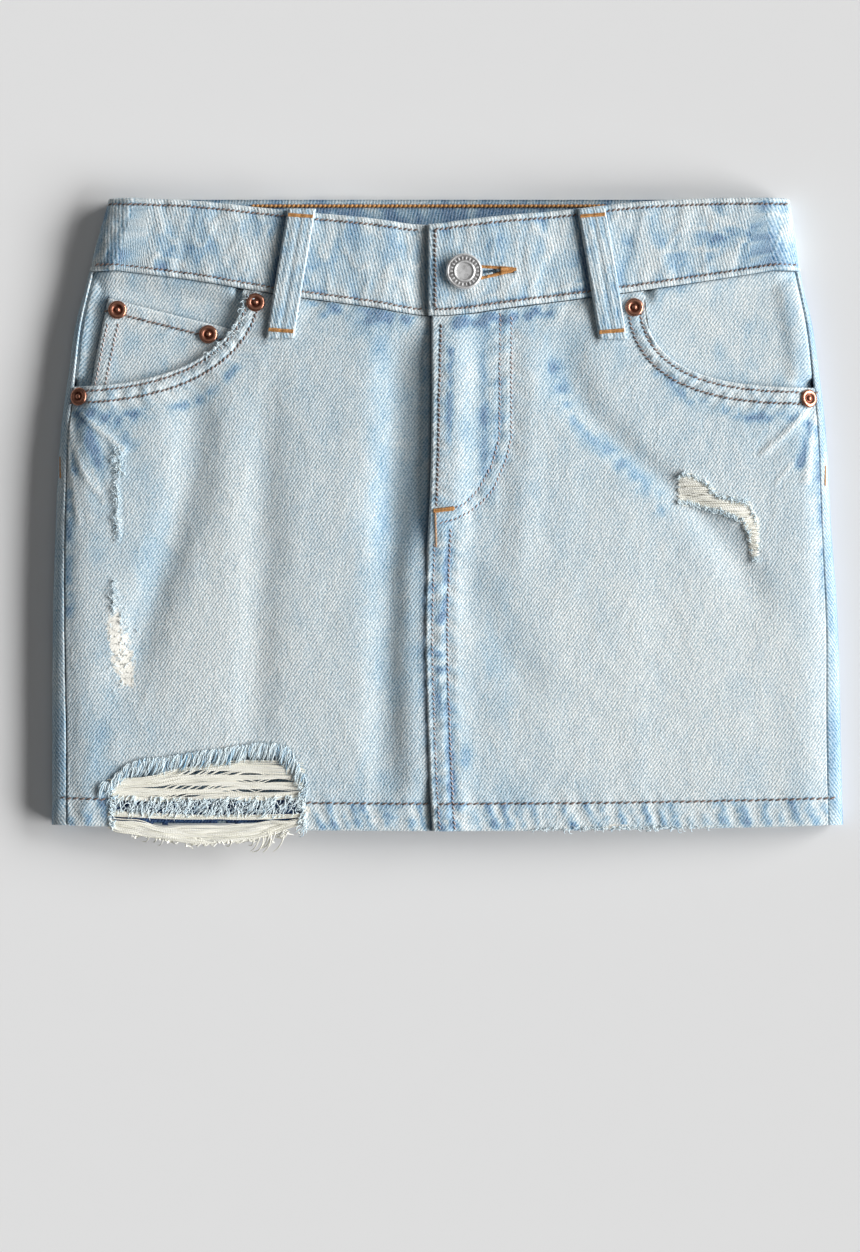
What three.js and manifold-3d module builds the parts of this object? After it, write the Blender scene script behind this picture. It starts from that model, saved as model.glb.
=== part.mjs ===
// A five-pocket denim mini skirt, laid flat on its back with its front up and its fly buttoned.
// Millimetres: x runs to the right across the front, y from the hem to the waist, z up from the surface.
import * as THREE from "three";
import { mergeVertices } from "three/addons/utils/BufferGeometryUtils.js";
import Module from "manifold-3d";

const wasm = await Module();
wasm.setup();

// Cloth and clearances
const CLOTH = 1.4;
const COIN_CLOTH = 1.0;
const BAND_CLOTH = 2.6;
const HEM_CLOTH = 2.8;
const LOOP_CLOTH = 1.8;
const FACING_CLOTH = 1.2;
const TAPE_CLOTH = 0.9;
const SEAM_GAP = 0.3;
const SIDE_SEAM_GAP = 0.4;

// The tube's cross-section: the side roll is an ellipse above and below the outermost line,
// and between the two rolls the front rises as a dome that flattens towards them.
const ROLL = { front: 13, back: 6, low: 6.5 };
const DOME_POWER = 1.5;

// Half widths of the laid skirt left and right of its centre, the height of its side roll,
// how far the front crowns above the roll, and how far the side seam lies inside the outline.
const SECTIONS = [
  { y: 0, left: 185.0, right: 184.6, side: 14.0, crown: 3.0, seam: 7.0 },
  { y: 45, left: 185.0, right: 183.6, side: 14.5, crown: 4.0, seam: 6.8 },
  { y: 95, left: 184.6, right: 182.2, side: 15.0, crown: 4.5, seam: 5.6 },
  { y: 146, left: 183.3, right: 178.9, side: 15.5, crown: 5.0, seam: 4.6 },
  { y: 186, left: 181.0, right: 176.7, side: 15.5, crown: 5.0, seam: 3.8 },
  { y: 213, left: 177.4, right: 173.6, side: 15.0, crown: 5.0, seam: 3.2 },
  { y: 235, left: 174.0, right: 170.2, side: 14.5, crown: 4.5, seam: 2.4 },
  { y: 260, left: 167.4, right: 164.4, side: 14.0, crown: 4.0, seam: 1.6 },
  { y: 294, left: 158.2, right: 159.4, side: 13.0, crown: 3.0, seam: 1.6 },
];

// The waistband's two edges across the front, which dips to the button, and round the back.
const WAISTLINE = [
  { x: -155, top: 294.0, bottom: 260.0 },
  { x: -120, top: 292.6, bottom: 255.6 },
  { x: -80, top: 288.4, bottom: 248.8 },
  { x: -38, top: 284.3, bottom: 243.0 },
  { x: -9, top: 281.2, bottom: 238.6 },
  { x: 8, top: 283.2, bottom: 239.4 },
  { x: 26, top: 285.2, bottom: 242.0 },
  { x: 52, top: 287.6, bottom: 245.4 },
  { x: 88, top: 291.8, bottom: 250.2 },
  { x: 120, top: 293.6, bottom: 255.0 },
  { x: 152, top: 294.0, bottom: 260.0 },
];

// The edge of the wearer's left front, which laps over the right one down the centre.
const CENTRE_EDGE = [
  { y: 0, x: -7.2 },
  { y: 21, x: -8.5 },
  { y: 55, x: -9.8 },
  { y: 88, x: -10.6 },
  { y: 128, x: -9.7 },
  { y: 151, x: -8.4 },
  { y: 200, x: -7.4 },
  { y: 238, x: -7.7 },
];

// Soft troughs in the front, each from its lower to its upper end, with a sideways bow and an S-bend, the sway.
// Width is the half width at which the trough is a third of its depth; a negative depth is a ridge.
const FOLDS = [
  { x0: -150, y0: 62, x1: -120, y1: 212, bow: 8, sway: -3, width: 10, depth: 2.1 },
  { x0: -90, y0: 36, x1: -85, y1: 206, bow: 0, sway: 0, width: 9, depth: 1.4 },
  { x0: -31, y0: 16, x1: -27, y1: 170, bow: 0, sway: 0, width: 8, depth: 1.8 },
  { x0: -22, y0: 128, x1: -22, y1: 230, bow: -1, sway: 0, width: 10, depth: 3.1 },
  { x0: 143, y0: 104, x1: 53, y1: 232, bow: -6, sway: 11, width: 10, depth: 1.8 },
  { x0: 38, y0: 62, x1: 5, y1: 128, bow: -2, sway: 0, width: 12, depth: 1 },
  { x0: 33, y0: 118, x1: 37, y1: 228, bow: 2, sway: 0, width: 7, depth: -0.8 },
];

// Side seams sink between the layers beside them, most of all at the pocket corners.
const SEAM_DITCH = { depth: 1.6, width: 7, cornerDepth: 2.6, cornerY: 203, cornerHeight: 16 };

// Pocket mouths are quarters of a superellipse that start at the waistband and end at the side seam.
const POCKETS = {
  right: { side: -1, start: -95.3, end: -176, top: 252, depth: 46, power: 2.2 },
  left: { side: 1, start: 91.2, end: 172, top: 250.5, depth: 45, power: 2.8 },
};
const MOUTH_STEPS = [0, 0.5, 1.8, 4, 8, 14, 23, 35, 48, 60];
// A facing lies below the front, and rises to it by the waistband and the side seam, clear of the mouth.
const FACING = {
  lift: -3.0,
  edgeLift: -0.2,
  under: 14,
  inward: 11,
  ramp: 9,
  sideRamp: 6,
  clearFrom: 2,
  clearTo: 9,
};
const COIN_POCKET = {
  topLeft: { x: -158.6, y: 247.4 },
  topRight: { x: -106, y: 234 },
  foot: { x: -168.8, y: 199 },
  inner: -99,
  lift: -1.7,
};

const HEM = { depth: 12.8, centre: -1.0, sideRise: 2.6, backRise: 3.6 };
const BAND_PROUD = 0.9;
// How far from the centre the waistband's front ends and its side roll starts.
const BAND_ROLL = 142;
// Down the centre the left front laps over the right one. The upper layer is lifted for the first few
// millimetres from the edge and the lower one sinks, more at the hem, where both are double.
const PANEL_LAP = {
  under: 9,
  lift: 1.0,
  liftFull: 11,
  liftEnd: 24,
  sink: -0.7,
  hemSink: -2.1,
  sinkFull: -2,
  sinkEnd: -16,
};
// The waistband's buttonhole end laps over its button end in the same way.
const BAND_LAP = {
  edge: -9.2,
  under: 32,
  lift: 2.1,
  liftFull: 36,
  liftEnd: 50,
  sink: -0.8,
  sinkFull: -11,
  sinkEnd: -30,
};
const ZIP = { from: 9.3, width: 18, foot: 152, top: 235, lift: -1.75, chain: 4 };
const FLY_SHIELD = { from: 1, width: 34, foot: 147, lift: -2.95 };

const BELT_LOOPS = {
  right: { top: { x: -67.9, y: 288.2 }, foot: { x: -78.1, y: 228 } },
  left: { top: { x: 66.5, y: 288.4 }, foot: { x: 76.5, y: 227.6 } },
};
const LOOP_WIDTH = 13;
// How far the loop's outer face stands off the front, from its foot to its top.
const LOOP_RISE = [
  { along: 0, lift: 2.1 },
  { along: 0.15, lift: 2.2 },
  { along: 0.33, lift: 3.7 },
  { along: 0.6, lift: 4.3 },
  { along: 0.9, lift: 3.7 },
  { along: 1, lift: 3.1 },
];

const BUTTON = { x: 7.4, y: 258.6, radius: 8.5, neck: 2.6, overBand: 0.5 };
// The button's head from its edge over the rim to the middle, as shares of its radius, with heights.
const BUTTON_HEAD = [
  { out: 0.9, up: 0 },
  { out: 1, up: 0.6 },
  { out: 1, up: 1.8 },
  { out: 0.91, up: 2.6 },
  { out: 0.82, up: 2.4 },
  { out: 0.45, up: 2.1 },
  { out: 0.42, up: 2.5 },
  { out: 0.3, up: 2.6 },
  { out: 0, up: 2.6 },
];
const BUTTONHOLE = { eye: 3.3, eyeEnd: 1.6, end: 24.5, slit: 0.5 };
const RIVET_RADIUS = 4.3;
// A rivet from its foot over the ring and down to the nub in the middle.
const RIVET_HEAD = [
  { out: 0, up: 0 },
  { out: 0.94, up: 0 },
  { out: 1, up: 0.5 },
  { out: 0.86, up: 1.25 },
  { out: 0.6, up: 1.35 },
  { out: 0.42, up: 0.7 },
  { out: 0.26, up: 0.75 },
  { out: 0.2, up: 1.45 },
  { out: 0, up: 1.7 },
];
const RIVETS = {
  rivet_coin_pocket_outer: { x: -154, y: 241.7, lift: -1.4 },
  rivet_coin_pocket_inner: { x: -111.6, y: 230.2, lift: -1.4 },
  rivet_right_pocket_inner: { x: -89.5, y: 244.8, lift: 0.35 },
  rivet_right_pocket_side: { x: -171.6, y: 201.2, lift: 0.75 },
  rivet_left_pocket_inner: { x: 86.5, y: 242.5, lift: 0.35 },
  rivet_left_pocket_side: { x: 167.6, y: 200.3, lift: 0.75 },
};

// The rip through the right front's hem: its upper edge, and the loose yarn left in it.
const RIP_EDGE = [
  { x: -157, y: 21 },
  { x: -150, y: 28.5 },
  { x: -132, y: 32.7 },
  { x: -106, y: 36.3 },
  { x: -83, y: 38.9 },
  { x: -73, y: 35.5 },
  { x: -67.5, y: 25 },
];
const RIP_STRIP = { width: 2.4, thick: 1.1, lift: -0.1, foot: 0.2, leftTop: 20, rightTop: 24.2 };
// Yarn still bridging the rip, in sheaves: their two heights, the sag at their middle and their count.
const WEFT_SHEAVES = [
  { high: 23.6, low: 15.2, sagHigh: -0.4, sagLow: 0.4, count: 8 },
  { high: 9.4, low: 1.6, sagHigh: 3.2, sagLow: 8.4, count: 10 },
];
// Loose ends that hang below the hem from the rip's right side.
const LOOSE_TAILS = {
  count: 3,
  path: [
    { x: -69, y: 1.4, spreadX: 0, spreadY: 1, lift: 0 },
    { x: -76, y: -3.6, spreadX: -5.2, spreadY: -1.8, lift: 1.9 },
    { x: -83, y: -8.6, spreadX: -3.1, spreadY: -1.6, lift: 1.6 },
  ],
};
const YARN = 0.42;
// The frayed ends of the warp along the rip's upper edge, and those along the hem's own upper edge.
const UPPER_FRINGE = {
  from: RIP_EDGE[0].x + 4.5,
  to: RIP_EDGE.at(-1).x - 8.5,
  top: (x) => ripTop(x) - 3 * SEAM_GAP,
  strip: 16,
  height: 1.4,
  count: 36,
  length: 6.6,
  sway: 1.6,
  lift: 0.9,
};
const HEM_FRINGE = {
  from: RIP_EDGE[0].x + RIP_STRIP.width + 2 * SEAM_GAP,
  to: RIP_EDGE.at(-1).x - RIP_STRIP.width - 2 * SEAM_GAP,
  top: () => HEM.depth,
  strip: 8,
  height: 1.3,
  count: 30,
  length: 4.2,
  sway: 1.2,
  lift: 0.7,
};

// Reads a table's column as a smooth curve of its key.
function curveOf(rows, key, column) {
  const curve = new THREE.CubicInterpolant(
    rows.map((row) => row[key]),
    rows.map((row) => row[column]),
    1,
    [0],
  );
  return (at) => curve.evaluate(at)[0];
}

const halfLeft = curveOf(SECTIONS, "y", "left");
const halfRight = curveOf(SECTIONS, "y", "right");
const sideHeight = curveOf(SECTIONS, "y", "side");
const crown = curveOf(SECTIONS, "y", "crown");
const seamInset = curveOf(SECTIONS, "y", "seam");
const bandTop = curveOf(WAISTLINE, "x", "top");
const bandBottom = curveOf(WAISTLINE, "x", "bottom");
const centreEdge = curveOf(CENTRE_EDGE, "y", "x");
const loopRise = curveOf(LOOP_RISE, "along", "lift");
const ripTop = curveOf(RIP_EDGE, "x", "y");

const { lerp, smoothstep } = THREE.MathUtils;
const halfWidth = (side, y) => (side < 0 ? halfLeft(y) : halfRight(y));
const seamX = (side, y) => side * (halfWidth(side, y) - seamInset(y));
const panelSide = (side, y) => seamX(side, y) - side * SIDE_SEAM_GAP;
const seamAngle = (y) => Math.acos((ROLL.front - seamInset(y)) / ROLL.front);
const hemLine = (x) => HEM.centre + HEM.sideRise * (x / halfLeft(0)) ** 2;

function foldDepth(x, y) {
  let sum = 0;
  for (const fold of FOLDS) {
    const along = (y - fold.y0) / (fold.y1 - fold.y0);
    const turn = Math.PI * Math.min(Math.max(along, 0), 1);
    const bend = fold.bow * Math.sin(turn) + fold.sway * Math.sin(2 * turn);
    const spine = lerp(fold.x0, fold.x1, along) + bend;
    const ends = smoothstep(along, -0.12, 0.2) * (1 - smoothstep(along, 0.8, 1.12));
    sum += fold.depth * ends * Math.exp(-(((x - spine) / fold.width) ** 2));
  }
  return sum;
}

function ditchDepth(side, y, reach, rise) {
  const corner = Math.exp(-(((y - SEAM_DITCH.cornerY) / SEAM_DITCH.cornerHeight) ** 2));
  const away = (reach - (halfWidth(side, y) - seamInset(y))) / SEAM_DITCH.width;
  return (SEAM_DITCH.depth + SEAM_DITCH.cornerDepth * corner) * rise * rise * Math.exp(-away * away);
}

// The upper skin as a height over the plan, from the centre out onto the side roll.
function frontSkin(x, y) {
  const side = x < 0 ? -1 : 1;
  const reach = Math.abs(x);
  const start = halfWidth(side, y) - ROLL.front;
  const rim = sideHeight(y);
  if (reach <= start) {
    const dome = crown(y) * (1 - (reach / start) ** 2) ** DOME_POWER;
    return new THREE.Vector3(x, y, rim + dome - foldDepth(x, y) - ditchDepth(side, y, reach, 1));
  }
  const rise = Math.sqrt(Math.max(0, 1 - ((reach - start) / ROLL.front) ** 2));
  const height = ROLL.low + (rim - ROLL.low) * rise;
  return new THREE.Vector3(x, y, height - foldDepth(x, y) - ditchDepth(side, y, reach, rise));
}

// The side roll by its angle, from a quarter turn above the outermost line to a quarter turn below.
function rollSkin(side, angle, y) {
  const half = halfWidth(side, y);
  if (angle >= 0) return frontSkin(side * (half - ROLL.front * (1 - Math.cos(angle))), y);
  const reach = half - ROLL.back * (1 - Math.cos(angle));
  return new THREE.Vector3(side * reach, y, ROLL.low * (1 + Math.sin(angle)));
}

const DELTA = 0.01;

function frontAt(x, y) {
  const across = frontSkin(x + DELTA, y).sub(frontSkin(x - DELTA, y));
  const up = frontSkin(x, y + DELTA).sub(frontSkin(x, y - DELTA));
  return { point: frontSkin(x, y), normal: across.cross(up).normalize() };
}

function rollAt(side, angle, y) {
  const turn = rollSkin(side, angle + DELTA, y).sub(rollSkin(side, angle - DELTA, y));
  const up = rollSkin(side, angle, y + DELTA).sub(rollSkin(side, angle, y - DELTA));
  return { point: rollSkin(side, angle, y), normal: turn.cross(up).normalize().multiplyScalar(-side) };
}

const backAt = (x, y) => ({ point: new THREE.Vector3(x, y, 0), normal: new THREE.Vector3(0, 0, -1) });

// A closed wall through a grid of stations and rows. Each cell holds the skin's point and normal there,
// lift moves the outer face off the skin and thick is the wall's thickness.
function wall(cells) {
  const columns = cells.length;
  const rows = cells[0].length;
  const positions = [];
  for (const layer of [0, 1])
    for (const column of cells)
      for (const { point, normal, lift = 0, thick = CLOTH } of column)
        positions.push(...point.clone().addScaledVector(normal, lift - layer * thick));
  const at = (layer, i, j) => layer * columns * rows + i * rows + j;
  const index = [];
  const quad = (a, b, c, d) => index.push(a, b, c, a, c, d);
  for (let i = 0; i + 1 < columns; i++)
    for (let j = 0; j + 1 < rows; j++) {
      quad(at(0, i, j), at(0, i + 1, j), at(0, i + 1, j + 1), at(0, i, j + 1));
      quad(at(1, i, j), at(1, i, j + 1), at(1, i + 1, j + 1), at(1, i + 1, j));
    }
  for (let i = 0; i + 1 < columns; i++) {
    quad(at(1, i, 0), at(1, i + 1, 0), at(0, i + 1, 0), at(0, i, 0));
    quad(at(0, i, rows - 1), at(0, i + 1, rows - 1), at(1, i + 1, rows - 1), at(1, i, rows - 1));
  }
  for (let j = 0; j + 1 < rows; j++) {
    quad(at(0, 0, j), at(0, 0, j + 1), at(1, 0, j + 1), at(1, 0, j));
    quad(at(1, columns - 1, j), at(1, columns - 1, j + 1), at(0, columns - 1, j + 1), at(0, columns - 1, j));
  }
  const geometry = new THREE.BufferGeometry();
  geometry.setAttribute("position", new THREE.Float32BufferAttribute(positions, 3));
  geometry.setIndex(index);
  return geometry;
}

// Even steps from one value to another, both included.
const steps = (from, to, count) => Array.from({ length: count + 1 }, (_, k) => lerp(from, to, k / count));

function solidOf(geometry) {
  const plain = geometry.clone();
  for (const name of Object.keys(plain.attributes)) if (name !== "position") plain.deleteAttribute(name);
  const merged = mergeVertices(plain, 1e-4);
  const mesh = new wasm.Mesh({
    numProp: 3,
    vertProperties: merged.attributes.position.array,
    triVerts: new Uint32Array(merged.index.array),
  });
  return new wasm.Manifold(mesh);
}

function geometryOf(solid) {
  const mesh = solid.getMesh();
  const geometry = new THREE.BufferGeometry();
  geometry.setAttribute("position", new THREE.BufferAttribute(mesh.vertProperties, 3));
  geometry.setIndex(new THREE.BufferAttribute(mesh.triVerts, 1));
  return geometry;
}

// Front panels

const pocketMouth = (pocket, x) => {
  const out = Math.min(Math.max((x - pocket.end) / (pocket.start - pocket.end), 0), 1);
  return pocket.top - pocket.depth * (1 - out ** pocket.power) ** (1 / pocket.power);
};

// The front panel's upper edge: the waistband, or the pocket mouth outside its start.
function panelTop(pocket, x) {
  const underBand = bandBottom(x) - SEAM_GAP;
  return pocket.side * (x - pocket.start) <= 0 ? underBand : Math.min(underBand, pocketMouth(pocket, x));
}

const HEM_ROWS = [0, 6, HEM.depth - 0.4, HEM.depth + 0.6];
const PANEL_ROWS = 20;

// One station of a front panel: x may follow the height, and the top edge is found on the same line.
function frontStation(pocket, xAt, liftAt) {
  let top = panelTop(pocket, xAt(pocket.top));
  for (let pass = 0; pass < 4; pass++) top = panelTop(pocket, xAt(top));
  const foot = hemLine(xAt(0));
  const body = steps(foot + HEM_ROWS.at(-1), top, PANEL_ROWS).slice(1);
  return [...HEM_ROWS.map((rise) => foot + rise), ...body].map((y, row) => ({
    ...frontAt(xAt(y), y),
    lift: liftAt(xAt(y), y),
    thick: row < HEM_ROWS.length - 1 ? HEM_CLOTH : CLOTH,
  }));
}

// Stations from the side seam to the pocket's start and on to the centre line.
function frontStations(pocket, innerX, centreFrom) {
  const { side } = pocket;
  const anchor = pocket.start + side * MOUTH_STEPS.at(-1);
  const outer = steps(1, 0, 3).slice(0, -1).map((share) => (y) => lerp(anchor, panelSide(side, y), share));
  const mouth = MOUTH_STEPS.toReversed().map((step) => () => pocket.start + side * step);
  const middle = steps(pocket.start, centreFrom, 8).slice(1).map((x) => () => x);
  const centre = steps(0, 1, 4).slice(1).map((share) => (y) => lerp(centreFrom, innerX(y), share));
  const all = [...outer, ...mouth, ...middle, ...centre];
  return side < 0 ? all : all.toReversed();
}

function rightFront() {
  const pocket = POCKETS.right;
  const { under, sink, hemSink, sinkFull, sinkEnd } = PANEL_LAP;
  const sinkAt = (y) => lerp(hemSink, sink, smoothstep(y, HEM.depth, 2 * HEM.depth));
  const liftAt = (x, y) => sinkAt(y) * smoothstep(x, centreEdge(y) + sinkEnd, centreEdge(y) + sinkFull);
  const stations = frontStations(pocket, (y) => centreEdge(y) + under, centreEdge(0) + sinkEnd);
  const panel = wall(stations.map((xAt) => frontStation(pocket, xAt, liftAt)));
  return geometryOf(solidOf(panel).subtract(solidOf(ripCutter())));
}

function leftFront() {
  const pocket = POCKETS.left;
  const { lift, liftFull, liftEnd } = PANEL_LAP;
  const liftAt = (x, y) => lift * (1 - smoothstep(x, centreEdge(y) + liftFull, centreEdge(y) + liftEnd));
  const stations = frontStations(pocket, centreEdge, centreEdge(0) + liftEnd);
  return wall(stations.map((xAt) => frontStation(pocket, xAt, liftAt)));
}

// Pocket facings and the coin pocket

function facing(pocket) {
  const { side } = pocket;
  const from = pocket.start - side * FACING.inward;
  const stations = steps(0, 1, 11).map((share) => (y) => lerp(from, panelSide(side, y), share));
  const cells = stations.map((xAt) => {
    const top = bandBottom(xAt(pocket.top)) - SEAM_GAP;
    let foot = pocketMouth(pocket, xAt(pocket.top)) - FACING.under;
    foot = Math.min(foot, pocketMouth(pocket, xAt(foot)) - FACING.under);
    return steps(foot, top, 9).map((y) => {
      const x = xAt(y);
      const past = Math.min(side * (x - pocket.start), y - pocketMouth(pocket, x));
      const clear = smoothstep(past, FACING.clearFrom, FACING.clearTo);
      const byBand = 1 - smoothstep(top - y, 0, FACING.ramp);
      const bySeam = 1 - smoothstep(side * (seamX(side, y) - x), 0, FACING.sideRamp);
      const lift = lerp(FACING.lift, FACING.edgeLift, clear * Math.max(byBand, bySeam));
      return { ...frontAt(x, y), lift, thick: FACING_CLOTH };
    });
  });
  return wall(side < 0 ? cells.toReversed() : cells);
}

function coinPocket() {
  const { topLeft, topRight, foot, inner, lift } = COIN_POCKET;
  const slope = (topRight.y - topLeft.y) / (topRight.x - topLeft.x);
  const leftX = (y) => lerp(foot.x, topLeft.x, (y - foot.y) / (topLeft.y - foot.y));
  return wall(
    steps(0, 1, 8).map((share) => {
      const top = topLeft.y + slope * (lerp(topLeft.x, inner, share) - topLeft.x);
      return steps(foot.y, top, 7).map((y) => ({
        ...frontAt(lerp(leftX(y), inner, share), y),
        lift,
        thick: COIN_CLOTH,
      }));
    }),
  );
}

// Back panels, which wrap round the side rolls to the seams on the front

function backPanel(side) {
  const rolled = steps(0, 1, 9).map((share) => (y) => rollAt(side, lerp(seamAngle(y), -Math.PI / 2, share), y));
  const flat = steps(0, 1, 4).slice(1).map(
    (share) => (y) => backAt(side * lerp(halfWidth(side, y) - ROLL.back, SEAM_GAP / 2, share), y),
  );
  const stations = [...rolled, ...flat];
  const top = WAISTLINE[0].bottom - SEAM_GAP;
  const sideFoot = HEM.centre + HEM.sideRise;
  const cells = stations.map((at, k) => {
    const foot = lerp(sideFoot, HEM.centre + HEM.backRise, Math.max(0, (k - rolled.length + 1) / flat.length));
    const rows = [...HEM_ROWS.map((rise) => foot + rise), ...steps(foot + HEM_ROWS.at(-1), top, 12).slice(1)];
    return rows.map((y, row) => ({ ...at(y), thick: row < HEM_ROWS.length - 1 ? HEM_CLOTH : CLOTH }));
  });
  return wall(side < 0 ? cells.toReversed() : cells);
}

// The waistband: one strip from the underlap round the back to the buttonhole end

function bandColumn(at, x, lift) {
  const { top, bottom } = x === null ? WAISTLINE[0] : { top: bandTop(x), bottom: bandBottom(x) };
  return steps(bottom, top, 3).map((y) => ({ ...at(y), lift, thick: BAND_CLOTH }));
}

function bandFront(xs, liftAt) {
  return xs.map((x) => bandColumn((y) => frontAt(x, y), x, liftAt(x)));
}

function bandSide(side, angles) {
  const proud = (angle) => BAND_PROUD * smoothstep(angle, -0.3, 1.1);
  return angles.map((angle) => bandColumn((y) => rollAt(side, angle, y), null, proud(angle)));
}

function waistband() {
  const quarter = Math.PI / 2;
  const angles = steps(quarter, -quarter, 10);
  const { edge, under, lift, liftFull, liftEnd, sink, sinkFull, sinkEnd } = BAND_LAP;
  const upperLift = (x) => lerp(lift, BAND_PROUD, smoothstep(x, liftFull, liftEnd));
  const lowerLift = (x) => lerp(BAND_PROUD, sink, smoothstep(x, sinkEnd, sinkFull));
  const upper = [
    ...steps(edge, liftFull, 5),
    ...steps(liftFull, liftEnd, 2).slice(1),
    ...steps(liftEnd, BAND_ROLL, 7).slice(1),
  ];
  const lower = [
    ...steps(-BAND_ROLL, sinkEnd, 8),
    ...steps(sinkEnd, sinkFull, 4).slice(1),
    ...steps(sinkFull, under, 4).slice(1),
  ];
  const backXs = steps(BAND_ROLL, -BAND_ROLL, 4).slice(1, -1);
  const back = backXs.map((x) => bandColumn((y) => backAt(x, y), null, 0));
  const strip = wall([
    ...bandFront(upper, upperLift),
    ...bandSide(1, angles),
    ...back,
    ...bandSide(-1, angles.toReversed()),
    ...bandFront(lower, lowerLift),
  ]);
  return geometryOf(solidOf(strip).subtract(solidOf(buttonholeCutter())));
}

// A round eye about the button's neck that narrows to a slit.
function buttonholeCutter() {
  const { eye, eyeEnd, end, slit } = BUTTONHOLE;
  const reach = BAND_CLOTH + SEAM_GAP;
  const halfAt = (along) => {
    if (along <= eyeEnd) return Math.sqrt(Math.max(slit ** 2, eye ** 2 - along ** 2));
    return lerp(eye, slit, (along - eyeEnd) / (end - eyeEnd));
  };
  return wall(
    [...steps(SEAM_GAP / 2 - eye, eyeEnd, 6), ...steps(eyeEnd, end, 5).slice(1)].map((along) =>
      [-halfAt(along), halfAt(along)].map((rise) => ({
        ...frontAt(BUTTON.x + along, BUTTON.y + rise),
        lift: BAND_LAP.lift + SEAM_GAP / 2,
        thick: reach,
      })),
    ),
  );
}

// The fly behind the lapped edge

function zip() {
  const xs = [0, 0.5 - ZIP.chain / ZIP.width / 2, 0.5 + ZIP.chain / ZIP.width / 2, 1];
  return wall(
    xs.map((share) =>
      steps(ZIP.foot, ZIP.top, 6).map((y) => ({
        ...frontAt(centreEdge(y) + ZIP.from + share * ZIP.width, y),
        lift: ZIP.lift,
        thick: TAPE_CLOTH,
      })),
    ),
  );
}

function flyShield() {
  return wall(
    steps(0, 1, 5).map((share) => {
      const reach = FLY_SHIELD.from + share * FLY_SHIELD.width;
      const top = bandBottom(centreEdge(FLY_SHIELD.foot) + reach) - 2 * SEAM_GAP;
      return steps(FLY_SHIELD.foot, top, 6).map((y) => ({
        ...frontAt(centreEdge(y) + reach, y),
        lift: FLY_SHIELD.lift,
        thick: FACING_CLOTH,
      }));
    }),
  );
}

function beltLoop({ top, foot }) {
  return wall(
    steps(-LOOP_WIDTH / 2, LOOP_WIDTH / 2, 2).map((across) =>
      steps(0, 1, 14).map((along) => ({
        ...frontAt(lerp(foot.x, top.x, along) + across, lerp(foot.y, top.y, along)),
        lift: loopRise(along),
        thick: LOOP_CLOTH,
      })),
    ),
  );
}

// Hardware, turned about its own axis and set on the cloth

function turned(profile, segments) {
  const points = profile.map(({ out, up }) => new THREE.Vector2(out, up));
  return new THREE.LatheGeometry(points, segments).rotateX(Math.PI / 2);
}

function seated(geometry, x, y, lift) {
  const { point, normal } = frontAt(x, y);
  const facingUp = new THREE.Vector3(0, 0, 1);
  geometry.applyQuaternion(new THREE.Quaternion().setFromUnitVectors(facingUp, normal));
  return geometry.translate(...point.addScaledVector(normal, lift));
}

function rivet({ x, y, lift }) {
  const profile = RIVET_HEAD.map(({ out, up }) => ({ out: out * RIVET_RADIUS, up }));
  return seated(turned(profile, 14), x, y, lift);
}

function button() {
  const { x, y, radius, neck, overBand } = BUTTON;
  const base = BAND_LAP.sink + SEAM_GAP;
  const under = BAND_LAP.lift + overBand - base;
  const stem = [
    { out: 0, up: 0 },
    { out: neck, up: 0 },
    { out: neck, up: under },
  ];
  const head = BUTTON_HEAD.map(({ out, up }) => ({ out: out * radius, up: under + up }));
  return seated(turned([...stem, ...head], 24), x, y, base);
}

// The rip: its cutter, and the yarn that is left, with roots fused into narrow strips

function ripCutter() {
  const xs = steps(RIP_EDGE[0].x, RIP_EDGE.at(-1).x, 16);
  const through = { lift: HEM_CLOTH, thick: 3 * HEM_CLOTH };
  return wall(xs.map((x) => [-HEM.depth, ripTop(x)].map((y) => ({ ...frontAt(x, y), ...through }))));
}

const yarnSection = new THREE.Shape(
  [0, 1, 2].map((corner) => {
    const angle = (corner * 2 * Math.PI) / 3;
    return new THREE.Vector2(YARN * Math.cos(angle), YARN * Math.sin(angle));
  }),
);

function strand(points, count) {
  const path = new THREE.CatmullRomCurve3(points);
  const along = { steps: count, extrudePath: path, bevelEnabled: false };
  return solidOf(new THREE.ExtrudeGeometry(yarnSection, along));
}

function onFront(x, y, lift) {
  const { point, normal } = frontAt(x, y);
  return point.addScaledVector(normal, lift);
}

function ripStrip(xs, lowerAt, upperAt, lift = RIP_STRIP.lift) {
  const cells = xs.map((x) =>
    [lowerAt(x), upperAt(x)].map((y) => ({ ...frontAt(x, y), lift, thick: RIP_STRIP.thick })),
  );
  return solidOf(wall(cells));
}

function weftYarn() {
  const left = RIP_EDGE[0].x + SEAM_GAP;
  const right = RIP_EDGE.at(-1).x - SEAM_GAP;
  const { width, lift, thick, foot, leftTop, rightTop } = RIP_STRIP;
  const strips = [
    ripStrip([left, left + width], () => foot, () => leftTop),
    ripStrip([right - width, right], () => foot, () => rightTop),
  ];
  const middle = lift - thick / 2;
  const from = left + width / 2;
  const to = right - width / 2;
  const yarns = WEFT_SHEAVES.flatMap(({ high, low, sagHigh, sagLow, count }) =>
    steps(0, 1, count - 1).map((share) => {
      const y = lerp(high, low, share);
      const sag = lerp(sagHigh, sagLow, share);
      // A yarn that starts above the left strip's top dips to it.
      const dip = Math.max(0, y - leftTop + YARN);
      const points = steps(0, 1, 6).map((along) => {
        const drop = sag * Math.sin(Math.PI * along) + dip * (1 - smoothstep(along, 0, 0.4));
        return onFront(lerp(from, to, along), y - drop, middle);
      });
      return strand(points, 8);
    }),
  );
  const tails = steps(0, 1, LOOSE_TAILS.count - 1).map((share) =>
    strand(
      LOOSE_TAILS.path.map(({ x, y, spreadX, spreadY, lift }) =>
        onFront(x + share * spreadX, y + share * spreadY, middle + lift),
      ),
      5,
    ),
  );
  return geometryOf(wasm.Manifold.union([...strips, ...yarns, ...tails]));
}

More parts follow.
